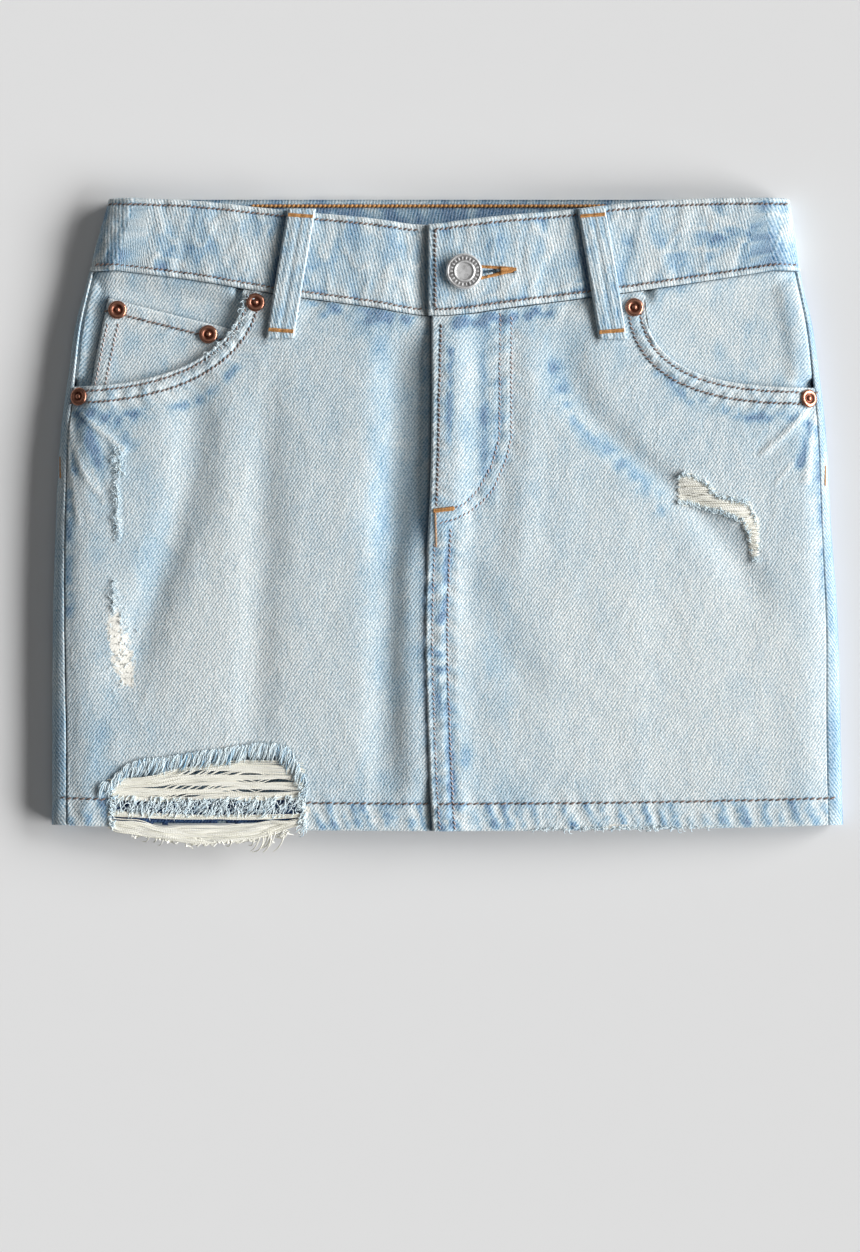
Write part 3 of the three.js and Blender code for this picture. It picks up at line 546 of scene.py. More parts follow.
pockets = {
    "right": {"side": -1, "start": -95.3, "end": -176, "top": 252, "depth": 46, "power": 2.2},
    "left": {"side": 1, "start": 91.2, "end": 172, "top": 250.5, "depth": 45, "power": 2.8},
}
flyStitch = {
    "innerY": [149, 151.2, 157.7, 168.4, 181.9, 238.6], "innerX": [3.3, 7.7, 14.0, 20.0, 23.7, 24.2],
    "outerY": [142.1, 143.5, 147, 151.2, 157.7, 171.2, 181.9, 238.6],
    "outerX": [-3.9, 2.3, 9.3, 14.9, 20.9, 26.8, 29.3, 29.4],
}
coinPocket = {"topLeft": (-158.6, 247.4), "topRight": (-106, 234), "foot": (-168.8, 199), "inner": -99,
    "lift": -1.7, "hem": 6.2, "thick": 1.0, "across": 50, "rows": 40}
ripForm = {
    "x": [-157, -150, -132, -106, -83, -73, -67.5], "y": [21, 28.5, 32.7, 36.3, 38.9, 35.5, 25],
    "left": -157, "right": -67.5,
}
ripTop = curveOf(ripForm, "x", "y")


def mouthAt(pocket, x):
    out = np.clip((np.asarray(x, float) - pocket["end"]) / (pocket["start"] - pocket["end"]), 0, 1)
    return pocket["top"] - pocket["depth"] * (1 - out ** pocket["power"]) ** (1 / pocket["power"])


def mouthPath(pocket, offset=0.0):  # the pocket's edge, or a line that far below and outside it
    turn = np.linspace(0.05, 0.5 * pi, 60)
    out, down = np.cos(turn) ** (2 / pocket["power"]), np.sin(turn) ** (2 / pocket["power"])
    path = np.stack([lerp(pocket["end"], pocket["start"], out), pocket["top"] - pocket["depth"] * down], 1)
    way = np.gradient(path, axis=0)
    way /= np.hypot(*way.T)[:, None]
    away = np.stack([way[:, 1], -way[:, 0]], 1) * (-pocket["side"])
    return path - away * offset


def columnPath(curveX, y0, y1, step=4.0):
    ys = np.arange(y0, y1, step)
    return np.stack([curveX(ys), ys], 1)


def rowPath(curveY, x0, x1, step=4.0):
    xs = np.arange(x0, x1 + 0.01, step)
    return np.stack([xs, curveY(xs)], 1)


flyInner = np.stack([flyStitch["innerX"], flyStitch["innerY"]], 1)
flyOuter = np.stack([flyStitch["outerX"], flyStitch["outerY"]], 1)
lines = {
    "flyEdge": columnPath(lambda y: centreEdge(y) + np.interp(y, [150, 200, 238], [3.2, 3.3, 4.4]), 150, 238),
    "seamNear": columnPath(lambda y: centreEdge(y) + 3.3, 0, 134),
    "seamFar": columnPath(lambda y: centreEdge(y) + 10.3, 0, 142),
    "flyInner": flyInner, "flyOuter": flyOuter,
    "mouthRight": mouthPath(pockets["right"], 2.3), "mouthRight2": mouthPath(pockets["right"], 7.6),
    "mouthLeft": mouthPath(pockets["left"], 2.3), "mouthLeft2": mouthPath(pockets["left"], 7.6),
    "hemLeft": rowPath(lambda x: hemLine(x) + hemDepth, -181, -8),
    "hemRight": rowPath(lambda x: hemLine(x) + hemDepth, -4, 181),
    "bandUnderEdge": rowPath(lambda x: bandBottom(x) + 2.7, -164, 162),
}

washSpots = {  # soft spots of colour on the front: more is bluer, less is paler
    "x": [-141, -164, 22, -116, 45, 12, -106, -30, -102, 108, 70, 130, -148, -163, -44, -26, 22, 58, 16.5, 11,
    24, 170, 150, -16, 3, 8, 44, -140, -158, 150, 92, 60, -60, -30, 30, 100, 20],
    "y": [106, 25, 65, 58, 211, 188, 84, 140, 150, 62, 100, 92, 176, 165, 231, 226, 231, 226, 202, 204, 190,
    172, 190, 120, 60, 34, 140, 120, 60, 30, 176, 20, 17, 22, 12, 224, 100],
    "rx": [12, 9, 9, 14, 10, 12, 40, 11, 12, 56, 26, 30, 20, 7, 24, 8, 16, 20, 2.0, 1.8, 3, 7, 14, 4, 2.4, 3, 9,
    14, 9, 26, 26, 40, 30, 26, 30, 22, 14],
    "ry": [40, 24, 36, 24, 16, 44, 46, 100, 50, 50, 40, 30, 22, 46, 8, 30, 8, 9, 30, 28, 26, 34, 12, 90, 60, 10,
    60, 46, 46, 16, 30, 7, 9, 10, 8, 12, 60],
    "turn": [0, 0, 0, 0, 0, 0, 0, 0, 0, 0, 20, 0, -40, 0, 0, 0, 0, -10, 0, 0, 0, 0, 40, 0, 0, 0, 0, 0, 0, 0,
    -30, 0, 0, 0, 0, 0, 0],
    "more": [0.17, 0.2, 0.13, -0.12, 0.13, 0.24, -0.34, 0.18, -0.1, -0.3, -0.08, -0.1, 0.1, 0.16, 0.16, 0.14,
    0.18, 0.12, 0.5, -0.14, 0.2, 0.2, 0.12, 0.12, 0.14, 0.3, 0.02, 0.06, 0.12, 0.06, 0.04, 0.08, 0.06, 0.08,
    0.1, 0.04, 0.08],
}
whiskers = [  # pale creases that fan out from the side rivets: path, half width, how pale
    ([(-173.5, 195.5), (-162.8, 186), (-151, 176.3)], 1.1, 0.42),
    ([(-177.3, 192.5), (-174.9, 180), (-170.7, 167), (-163.7, 157)], 1.0, 0.4),
    ([(-177.7, 188), (-175.5, 164), (-172, 142)], 0.9, 0.25), ([(-166, 168), (-160, 152)], 0.8, 0.2),
    ([(167.5, 194.6), (157, 184), (146.4, 174.9)], 1.3, 0.4),
    ([(170.9, 191.3), (168.6, 176.1), (166.8, 162)], 1.5, 0.4),
    ([(160, 170), (152, 160)], 0.8, 0.18),
]
blueStrokes = [  # deeper blue beside creases, under pockets and along seams: path, half width, how blue
    ([(-171.5, 193), (-168, 183), (-162, 172)], 3.0, 0.5), ([(-166, 192.5), (-154, 191), (-142, 193)], 3.6, 0.3),
    ([(-176, 180), (-174, 166)], 1.6, 0.3), ([(-156, 184), (-146, 178)], 4.5, 0.14),
    ([(-176.5, 160), (-177, 100)], 2.4, 0.2),
    ([(168.5, 188), (164, 170)], 2.4, 0.36), ([(172.5, 186), (174.5, 150), (176.5, 110)], 2.0, 0.3),
    ([(160, 192.5), (140, 192)], 3.0, 0.22),
    ([(-130, 194.5), (-112, 201), (-99, 214)], 2.6, 0.2), ([(98, 212), (112, 200), (134, 193)], 2.6, 0.2),
    ([(-20, 236), (-48, 240), (-64, 242)], 3.2, 0.3), ([(-2, 234), (22, 237), (50, 241)], 2.6, 0.34),
    ([(0, 128), (-3.5, 96)], 1.8, 0.26), ([(-4, 88), (-4.5, 56)], 1.8, 0.26), ([(0.4, 44), (2, 14)], 2.0, 0.3),
    ([(1, 222), (0.5, 176)], 1.4, 0.28), ([(-10, 232), (-11, 40)], 3.2, 0.12),
    ([(50, 214), (59, 190), (70, 180), (81, 169), (93, 159), (101, 147)], 5.0, 0.15),
]
bareSpots = {  # where the blue is rubbed through to the weft
    "x": [-154.5, -153, -154.2, -154, -155.6, -152.3, -97, -101, -116, 55, 78, 96, 120, -66, 60],
    "y": [174, 168, 156, 143, 108, 83.3, 242, 232, 219, 1, 1, 1, 1, 8, 12],
    "rx": [1.6, 1.8, 0.8, 0.7, 0.6, 5.6, 1.2, 1.4, 6, 7, 9, 5, 6, 3, 3],
    "ry": [3, 3.5, 7, 8, 7, 21, 8, 6, 1.2, 1.3, 1.6, 1.2, 1.2, 5, 1.2],
    "turn": [-50, 20, 0, 0, 0, 11.5, 20, 40, 20, 0, 0, 0, 0, 0, 0],
    "bare": [0.6, 0.6, 0.6, 0.55, 0.6, 1.1, 0.45, 0.45, 0.3, 0.7, 0.8, 0.6, 0.5, 0.6, 0.3],
}
loopShadowStrips = [[(-85.6, 226), (-75.2, 290)], [(69.2, 226), (59.2, 290)]]  # painted shadow: these strips along the left side of each loop, away from the light, are made darker and bluer
smallRip = {  # the second rip's upper and lower edges
    "upperX": [107.5, 110, 119.5, 125.1, 139.3, 143.6, 144.2],
    "upperY": [164, 165.6, 161.4, 154.9, 152.1, 143, 126],
    "lowerX": [107.5, 114, 126.5, 136.6, 140.7, 141.6], "lowerY": [151.6, 150.7, 147.2, 143, 134.6, 125],
}


def inSmallRip(x, y, grow=0.0):
    ragged = 0.9 * noise(x, y, 1.7, 225)
    top = np.interp(x, smallRip["upperX"], smallRip["upperY"]) + ragged
    foot = np.interp(x, smallRip["lowerX"], smallRip["lowerY"]) - ragged
    ends = smooth(x, 107.0 - grow, 109.2 - grow) * (1 - smooth(x, 142.6 + grow, 144.4 + grow))
    above, below = smooth(y, foot - 1.2 - grow, foot + 1.2 - grow), smooth(y, top - 1.2 + grow, top + 1.2 + grow)
    return above * (1 - below) * ends


def puckers(x, y, path, pitch, reach, seed, skew=0.6):  # ripples that cross a sewn line
    d, s = alongPath(x, y, path)
    wave = np.sin(2 * pi * (s + skew * d + 2.2 * drift(s, 0, pitch * 1.3, seed)) / pitch)
    return (wave * 0.6 + 0.8 * noise(s + skew * d, d * 0.25, pitch * 0.55, seed + 5)) * near(d, reach)


def groove(x, y, path, width=0.8):
    return near(alongPath(x, y, path)[0], width)


def creases(x, y, size, seed, slim=0.13):  # fine wandering ridges
    warp = 0.8 * size * noise(x, y, size * 1.6, seed + 1)
    return near(noise(x + warp, (y - warp) * 0.6, size, seed), slim)


def hemBars(x, y, seed):
    up = y - hemLine(x)
    bars = np.sin(2 * pi * (x + up * 0.4 + 6 * noise(x, up * 0.1, 18, seed)) / 7.2)
    return bars * 0.5 + 0.9 * noise(x + up * 0.4, up * 0.25, 3.0, seed + 1) + 0.6 * noise(x, up, 1.6, seed + 2)


def seamRidges(edge, y, ridge, dip):  # the felled seam below the fly: two ridges with a dip between them
    ridges = near(edge - 6.9, 1.2) + near(edge - 14.3, 1.4)
    return (ridge * ridges + dip * near(edge - 9.3, 1.0)) * (1 - smooth(y, 132, 146))


def frontPaint(x, y, stitched):
    edge, up = x - centreEdge(y), y - hemLine(x)
    # painted shade: the fold term makes each fold bluer along its right-hand wall, which faces away from the
    # light
    wash = 0.28 + 0.03 * foldDepth(x - 3, y) + 0.06 * noise(x, y * 0.4, 9, 3) + 0.05 * noise(x, y, 26, 4)
    wash = wash + 0.05 * noise(x, y * 0.4, 3.2, 8) + 0.05 * noise(x, y, 1.6, 9)
    for cx, cy, rx, ry, turn, more in zip(*washSpots.values()):
        wash = wash + more * blob(x, y, cx, cy, rx, ry, turn) * (1 + 0.4 * patchy(x, y * 0.6, 5, 11))
    for path, width, blue in blueStrokes:
        wash = wash + 2.0 * blue * groove(x, y, path, width) * (1 + 0.7 * patchy(x, y, 3.4, 12))
    for path, width, pale in whiskers:
        wash = wash - (pale + 0.45) * groove(x, y, path, width * 0.75)
    wash = wash - 0.08 * creases(x, y, 7, 14) + 0.05 * patchy(x, y * 0.6, 4.5, 15)
    for path, pitch, reach, amount, seed in stitched:
        wash = wash + amount * 1.8 * puckers(x, y, path, pitch, reach, seed) + 0.26 * groove(x, y, path, 0.8)
    wash = wash + (0.09 + 0.48 * hemBars(x, y, 21)) * (1 - smooth(up, 11, 14))
    wash = wash + 0.13 * smooth(edge, 0, 2) * (1 - smooth(edge, 9, 13)) * (1 - smooth(y, 136, 150))
    wash = wash - 0.3 * near(up, 1.3)
    wear = 0
    for cx, cy, rx, ry, turn, bare in zip(*bareSpots.values()):
        wear = np.maximum(wear, bare * blob(x, y, cx, cy, rx, ry, turn) * (0.8 + 0.45 * noise(x, y, 2.2, 31)))
    rip = inSmallRip(x, y)
    wash = wash - 0.12 * inSmallRip(x, y, 3) * (1 - rip)
    wash = wash - 0.3 * near(edge, 1.1) * (edge > -0.5)
    wash = wash + seamRidges(edge, y, -0.08, 0.24)
    # painted shade: a long strip left of the centre front is darker, to dim a fold crest that faces the light
    wash = wash + 0.13 * near(x + 32, 5.5) * smooth(y, 100, 140) * (1 - smooth(y, 232, 248))
    # painted shadow: a dark line on the right front along the lap's edge, and a fainter one under the waistband
    deep = 0.85 * near(edge + 0.4, 1.3) * (edge < -0.05) + 0.22 * near(bandBottom(x) - y, 1.0)
    # painted shadow: darker strips along the left side of each belt loop
    for path in loopShadowStrips:
        deep = deep + 0.5 * groove(x, y, path, 1.1)
    return painted(wash, np.maximum(wear, rip), deep)


def frontRelief(x, y, stitched):  # small rises and dips of the front cloth, in millimetres
    total = 0.2 * noise(x, y * 0.35, 17, 51) + 0.09 * noise(x, y * 0.5, 8, 52)
    total = total + 0.05 * noise(x, y, 2.6, 53) + 0.12 * creases(x, y, 7, 14)
    for path, width, pale in whiskers:
        total = total + 1.9 * pale * groove(x, y, path, width * 1.4) - 0.9 * pale * groove(x, y, path, width * 4)
    for path, pitch, reach, amount, seed in stitched:
        total = total + amount * 2.5 * puckers(x, y, path, pitch, reach, seed) - 0.42 * groove(x, y, path)
    up = y - hemLine(x)
    total = total + 0.26 * hemBars(x, y, 21) * smooth(up, 0, 4) * (1 - smooth(up, 9, 13))
    total = total + 0.25 * near(up - 1.6, 1.4)
    wornRidge = groove(x, y, [(-154.6, 168), (-153.8, 135)], 0.9) + groove(x, y, [(-157, 172), (-151, 176)], 1.6)
    total = total + 0.5 * wornRidge + 0.4 * blob(x, y, -152.3, 83.3, 5.5, 20, 11.5)
    total = total + seamRidges(x - centreEdge(y), y, 0.22, -0.3)
    return total - 0.1 * inSmallRip(x, y) + 0.12 * inSmallRip(x, y, 2.5)


def edgeRows(foot, top, step):  # heights for every station, closer together at both ends
    count, last = max(4, int(np.max(top - foot) / step)), edgeSteps[-1]
    share = np.linspace(0, 1, count + 1)[1:-1]
    body = foot[:, None] + last + (top - foot - 2 * last)[:, None] * share
    return np.concatenate([foot[:, None] + edgeSteps, body, top[:, None] - edgeSteps[::-1]], 1)


def frontGrid(pocket, innerX, step, topAt):
    # stations run from the side seam to the centre, bunched at both ends and where the pocket's edge starts;
    # rows keep their height and those above a station's top are gathered into it
    side, fine = pocket["side"], edgeSteps
    xa, xb = panelEdgeX(side, 250.0), innerX(238.0)
    atPocket = pocket["start"] + side * np.array([-1.2, -0.5, 0, 0.15, 0.4, 0.8, 1.3, 2.0, 2.9])
    even = np.linspace(xa, xb, int(abs(xb - xa) / step))
    xs = np.unique(np.round(np.concatenate([even, atPocket, xa - side * fine, xb + side * fine]), 3))
    share = ((xs - xa) / (xb - xa))[:, None]
    lineX = lambda y: lerp(panelEdgeX(side, y), innerX(y), share)
    foot, top = hemLine(lineX(0.0)), topAt(xs)[:, None]
    for _ in range(5):
        top = topAt(lineX(top))
    body = foot + fine[-1] + np.arange(step, np.max(top) - np.min(foot), step)
    y = np.concatenate([foot + fine, np.minimum(body, top - fine[-1]), top - fine[::-1]], 1)
    ids = np.arange(y.size).reshape(y.shape)
    first, last = len(fine), len(fine) + body.shape[1]
    ids[:, first:last] = np.where(body > top - fine[-1] - 0.3 * step, ids[:, last:last + 1], ids[:, first:last])
    return lineX(y), y, foot, top, ids


def panelTop(pocket):
    def at(x):
        under = bandBottom(x) - bandGap
        return np.where(pocket["side"] * (x - pocket["start"]) <= 0, under, np.minimum(under, mouthAt(pocket, x)))
    return at


frontFold = {"thick": 1.4, "hemThick": 2.8, "step": 1.3}
lap = {"under": 9, "lift": 1.0, "liftFull": 11, "liftEnd": 24, "sink": -0.7, "hemSink": -2.1, "sinkFull": -2,
    "sinkEnd": -16}
rightSeams = [
    (lines["mouthRight"], 6.5, 5, 0.1, 61), (lines["mouthRight2"], 7, 6, 0.1, 62),
    (lines["hemLeft"], 9.5, 5, 0.08, 63), (lines["bandUnderEdge"] - [0, 4], 12, 7, 0.1, 64),
]
leftSeams = [
    (lines["mouthLeft"], 6.5, 5, 0.1, 71), (lines["mouthLeft2"], 7, 6, 0.09, 72),
    (lines["hemRight"], 9.5, 5, 0.08, 73),
    (lines["seamNear"], 7.5, 4.5, 0.14, 74), (lines["seamFar"], 8, 5.5, 0.15, 75),
    (lines["flyEdge"], 8, 5, 0.13, 76),
    (lines["flyInner"], 8, 5, 0.1, 77), (lines["flyOuter"], 9, 6, 0.09, 78),
    (lines["bandUnderEdge"] - [0, 4], 12, 7, 0.1, 79),
]


# the turned edge of a pocket is thicker and roped between its two lines of stitches
def mouthStep(pocket, x, y, seed):
    d, s = alongPath(x, y, mouthPath(pocket))
    bumps = np.sin(2 * pi * (s + 0.7 * d + 2 * drift(s, 0, 7, seed)) / 5.2)
    rope = (0.34 + 0.24 * bumps) * near(d - 4.9, 1.6) + 0.3 * near(d - 1.0, 0.9)
    return 0.45 * (1 - smooth(d, 7.4, 8.8)) + rope


def rightLift(x, y):
    sink = lerp(lap["hemSink"], lap["sink"], smooth(y, hemDepth, 2 * hemDepth))
    edge = x - centreEdge(y)
    lift = sink * smooth(edge, lap["sinkEnd"], lap["sinkFull"])
    lift = lift + 1.6 * smooth(edge, -17, -6) * (1 - smooth(y, 120, 165))
    relief = frontRelief(x, y, rightSeams) * (1 - smooth(edge, -5, -1))
    return lift + mouthStep(pockets["right"], x, y, 151) + relief


def lapRise(x, y):  # the fly is several layers thick
    high = lerp(0.1, 1.5, smooth(y, 118, 165)) * (1 - smooth(y, 220, 238))
    return high * (1 - smooth(x - centreEdge(y), 10, 22))


def leftLift(x, y):
    edge = x - centreEdge(y)
    lift = lap["lift"] * (1 - smooth(edge, lap["liftFull"], lap["liftEnd"])) + lapRise(x, y)
    seam = 0.5 * (1 - smooth(edge, 10.3, 11.6)) * (1 - smooth(y, 138, 150))
    flyEdge = np.interp(y, flyStitch["outerY"], flyStitch["outerX"])
    fly = 0.4 * (1 - smooth(x - flyEdge, -0.2, 1.4)) * smooth(y, 140, 146)
    return lift + seam + fly + mouthStep(pockets["left"], x, y, 152) + frontRelief(x, y, leftSeams)


def makeFront(name, pocket, innerX, liftAt, seams, node, keepAt=None, extra=None, fall=0.6):
    x, y, foot, top, ids = frontGrid(pocket, innerX, frontFold["step"], panelTop(pocket))
    side = pocket["side"]
    lapGap = np.abs(x - innerX(y))
    gap = np.minimum(np.abs(x - panelEdgeX(side, y)), lapGap)
    ropeGap = np.minimum(top - y, alongPath(x, y, mouthPath(pocket))[0])
    lift = liftAt(x, y) + rounded(y - foot, 0.9) + rounded(ropeGap, 0.6)
    lift = lift + rounded(gap, 0.6 if side < 0 else 0.3) + rounded(lapGap, fall)
    thick = np.where(y - foot < hemDepth - 0.2, frontFold["hemThick"], frontFold["thick"]) + rounded(lapGap, fall)
    if extra is not None:
        thick = thick + extra(x, y)
    paint = frontPaint(x, y, seams)
    edge = near(ropeGap, 1.3) + 0.7 * near(gap, 0.8)
    paint["wash"] = np.clip(paint["wash"] - 0.22 * edge * (0.8 + 0.6 * noise(x, y, 3, 81)), 0, 1)
    keep = None
    if keepAt is not None:
        keep = keepAt((x[:-1, :-1] + x[1:, 1:]) / 2, (y[:-1, :-1] + y[1:, 1:]) / 2)
    return clothShell(name, frontSkin(x, y), lift, thick, paint, denim,
        keep=keep, ids=ids, node=node, slot="denim")


def outsideRip(x, y):
    ragged = 0.5 * noise(x, y, 1.5, 91)
    inside = (x > ripForm["left"] + ragged) & (x < ripForm["right"] + ragged) & (y < ripTop(x) + ragged)
    return ~inside


underEdge = lambda y: centreEdge(y) + lap["under"]
frontRight = makeFront("frontPanelRight", pockets["right"], underEdge, rightLift, rightSeams,
    "front_panel_right", outsideRip)
frontLeft = makeFront("frontPanelLeft", pockets["left"], centreEdge, leftLift, leftSeams,
    "front_panel_left", extra=lapRise, fall=1.0)
print("front panels made")

# Pocket facings and the coin pocket

facing = {"lift": -3.0, "edgeLift": -0.2, "under": 14, "inward": 11, "ramp": 9, "sideRamp": (6, 15),
    "clearFrom": 2, "clearTo": 5.5, "thick": 1.2, "across": 62, "rows": 52}


def facingLift(pocket, x, y, top):
    side = pocket["side"]
    past = np.minimum(side * (x - pocket["start"]), y - mouthAt(pocket, x))
    clear = smooth(past, facing["clearFrom"], facing["clearTo"])
    byBand = 1 - smooth(top - y, 0, facing["ramp"])
    bySeam = 1 - smooth(side * (seamX(side, y) - x), 0, facing["sideRamp"][0 if side < 0 else 1])
    ease = 0.1 * noise(x, y, 14, 95) - 0.1
    return lerp(facing["lift"], facing["edgeLift"], clear * np.maximum(byBand, bySeam)) + ease


def straight(a, b, t):  # the line through two points, read at t on the first of their numbers
    return a[1] + (b[1] - a[1]) * (t - a[0]) / (b[0] - a[0])


def coinTop(x):
    return straight(coinPocket["topLeft"], coinPocket["topRight"], x)


def coinSide(y):
    return straight(coinPocket["foot"][::-1], coinPocket["topLeft"][::-1], y)


def makeFacing(name, pocket, node):
    side = pocket["side"]
    start = pocket["start"] - side * facing["inward"]
    share = np.linspace(0, 1, facing["across"])[:, None]
    lineX = lambda y: lerp(start, panelEdgeX(side, y), share)
    top = bandBottom(lineX(pocket["top"])) - bandGap
    foot = mouthAt(pocket, lineX(pocket["top"])) - facing["under"]
    foot = np.minimum(foot, mouthAt(pocket, lineX(foot)) - facing["under"])
    y = lerp(foot, top, np.linspace(0, 1, facing["rows"]))
    x = lineX(y)
    lift = facingLift(pocket, x, y, top) + rounded(side * (panelEdgeX(side, y) - x), 0.5)
    wash = 0.32 + 0.16 * noise(x + 3 * noise(x, y, 9, 91), y * 0.6, 7, 97) + 0.14 * noise(x, y * 0.5, 3, 98)
    wash = wash - 0.16 * creases(x, y, 9, 92) + 0.16 * smooth(side * x, 152, 162)
    wash = wash + 0.2 * near(top - y, 4) * (0.7 + noise(x, y, 6, 99))
    wash = wash + 0.12 * near(y - mouthAt(pocket, x), 4)
    # painted shadow: a dark line just under the waistband's lower edge
    deep = 0.3 * near(top - y, 0.9)
    if side < 0:  # the coin pocket shades the cloth at its edges
        beside, above = coinSide(y) - x, y - coinTop(x)
        deep = deep + 0.85 * near(beside - 0.3, 1.1) * (above < 0.6)
        deep = deep + 0.32 * near(above - 0.3, 0.8) * (beside < 0.6)
    paint = painted(wash, deep=deep)
    return clothShell(name, frontSkin(x, y), lift, facing["thick"], paint, denimFacing,
        node=node, slot="pale_denim")


facingRight = makeFacing("pocketFacingRight", pockets["right"], "pocket_facing_right")
facingLeft = makeFacing("pocketFacingLeft", pockets["left"], "pocket_facing_left")

lines["coinHem"] = rowPath(lambda x: coinTop(x) - coinPocket["hem"], -160, -101)
lines["coinSide"] = columnPath(lambda y: coinSide(y) + 2.4, 200, 240)
lines["coinSide2"] = columnPath(lambda y: coinSide(y) + 7.4, 200, 240)


def coinLift(x, y):
    hem = 0.3 * (1 - smooth(coinTop(x) - y, coinPocket["hem"] - 0.2, coinPocket["hem"] + 1.2))
    sewn = groove(x, y, lines["coinHem"]) + groove(x, y, lines["coinSide"])
    lift = coinPocket["lift"] + hem + 0.14 * noise(x, y, 9, 101) - 0.25 * sewn
    return lift + 0.12 * puckers(x, y, lines["coinHem"], 6, 4, 102)


def makeCoinPocket():
    share = np.linspace(0, 1, coinPocket["across"])[:, None]
    top = coinTop(lerp(coinPocket["topLeft"][0], coinPocket["inner"], share))
    y = lerp(coinPocket["foot"][1], top, np.linspace(0, 1, coinPocket["rows"]))
    x = lerp(coinSide(y), coinPocket["inner"], share)
    lift = coinLift(x, y) + rounded(top - y, 0.45) + rounded(x - coinSide(y), 0.45)
    wash = 0.29 + 0.18 * noise(x, y, 7, 103) + 0.2 * puckers(x, y, lines["coinHem"], 6, 4, 102)
    wash = wash + 0.16 * noise(x, y * 0.5, 3, 104) + 0.1 * groove(x, y, lines["coinHem"], 1.1)
    wash = wash - 0.3 * near(top - y, 1) - 0.26 * near(x - coinSide(y), 1.2)
    return clothShell("coinPocket", frontSkin(x, y), lift, coinPocket["thick"], painted(wash), denimFacing,
        node="coin_pocket", slot="pale_denim")


coinCloth = makeCoinPocket()
print("pockets made")

# Back panels, which wrap round the sides to the seams on the front

backCloth = {"thick": 1.4, "hemThick": 2.8, "rollStations": 30, "flatStep": 3.5, "rows": 150}


def seamAngle(y):
    return np.arccos((form["rollFront"] - seamInset(y)) / form["rollFront"])


def makeBack(name, side, node):
    rows, turns = backCloth["rows"], backCloth["rollStations"]
    flats = int(180 / backCloth["flatStep"])
    sideFoot, backFoot, top = 1.6, 2.6, bandSideBottom - bandGap
    toCentre = np.concatenate([np.zeros(turns), np.linspace(0, 1, flats + 1)[1:]])
    foot = lerp(sideFoot, backFoot, toCentre)
    y = edgeRows(foot, np.full_like(foot, top), (top - 2) / rows)
    share = np.concatenate([[0, 0.012, 0.03], np.linspace(0.06, 1, turns - 3)])[:, None]
    angle = lerp(seamAngle(y[:turns]), -pi / 2, share)
    rollP, rollN = rollSkin(side, angle, y[:turns])
    x = side * lerp(halfWidth(side, y[turns:]) - form["rollBack"], 0.15, np.linspace(0, 1, flats + 1)[1:, None])
    flatP, flatN = flatSkin(x, y[turns:])
    points, normals = np.concatenate([rollP, flatP]), np.concatenate([rollN, flatN])
    steps = np.linalg.norm(np.diff(points[:, rows // 2], axis=0), axis=1)
    girth = np.concatenate([[0], np.cumsum(steps)])[:, None]  # distance round the panel from its seam
    up = y - foot[:, None]
    bars = np.sin(2 * pi * (girth + up * 0.5 + 4 * noise(girth, up * 0.1, 16, 111)) / 9.5)
    bars = bars * (1 - smooth(up, 11, 14))
    relief = 0.12 * noise(girth, y * 0.4, 14, 112) + 0.1 * bars + 0.1 * noise(girth * 2, y, 6, 113)
    show = np.concatenate([smooth(angle, -0.9, 0.1), np.zeros_like(x)])  # relief only where it lies off the floor
    lift = relief * show + rounded(girth, 0.55 if side < 0 else 0.3) - 0.3 * show * near(up - hemDepth, 0.8)
    # painted shade: the right-hand back panel, whose roll faces the light, is given a bluer base than the left
    wash = (0.44 if side < 0 else 0.54) + 0.1 * noise(girth, y * 0.5, 9, 114)
    wash = wash + 0.1 * noise(girth, y * 0.3, 4, 115) + 0.1 * noise(girth, y, 40, 116)
    wash = wash + 0.18 * near(girth, 2.5) * (0.6 + drift(y, 0, 8, 117)) + bars * 0.14
    wash = wash + 0.16 * near(y - 195, 22) * near(girth, 16) - 0.24 * near(girth, 0.7)
    low = np.concatenate([(1 - smooth(angle, -0.1, 0.45)) * smooth(angle, -1.5, -1.0), np.zeros_like(x)])
    wash = wash + (0.6 if side > 0 else 0.2) * low  # painted shade: the underside of the roll is darker, most on the right, where the roll faces the light
    wash = wash - 0.2 * near(girth - 110, 50) * near(y - 110, 90)
    thick = np.where(up < hemDepth - 0.2, backCloth["hemThick"], backCloth["thick"])
    uv = np.stack([np.broadcast_to(side * -girth + 400, y.shape), y], -1)
    return clothShell(name, (points, normals), lift, thick, painted(wash), denim, uv=uv, node=node, slot="denim")


backRight = makeBack("backPanelRight", -1, "back_panel_right")
backLeft = makeBack("backPanelLeft", 1, "back_panel_left")
print("back panels made")

# The waistband, one loop from the button end round the back to the buttonhole end

band = {"thick": 2.6, "proud": 0.9, "roll": 142, "edge": -9.2, "under": 32, "step": 1.4,
    "lift": 2.1, "liftFull": 36, "liftEnd": 50, "sink": -0.8, "sinkFull": -11, "sinkEnd": -30}
button = {"x": 7.4, "y": 258.6, "ticks": 22}
hole = {"eye": 3.3, "eyeEnd": 1.6, "end": 23.5, "slit": 0.35}
bandSpots = {
    "x": [-150, -120, -98, -60, -40, -20, 20, 44, 127, 145, 94, 160, 110, 84, -134, -84, 30],
    "y": [284, 272, 262, 262, 276, 258, 272, 262, 275.8, 278.4, 273, 272, 262, 284, 262, 280, 246],
    "rx": [6, 13, 9, 9, 7, 10, 8, 9, 13, 15, 15, 8, 12, 8, 14, 10, 6],
    "ry": [2, 4, 5, 3, 3, 5, 2.4, 3, 3.2, 4.2, 5, 3, 2, 3, 3, 3, 2],
    "turn": [30, 30, -50, 20, -40, 30, 50, -40, -14, 2, 6, 10, 10, 40, 20, -30, 20],
    "more": [0.24, 0.3, 0.24, 0.2, 0.18, 0.24, 0.22, 0.18, 0.5, 0.6, 0.26, 0.3, 0.18, 0.16, 0.24, 0.18, 0.2],
}
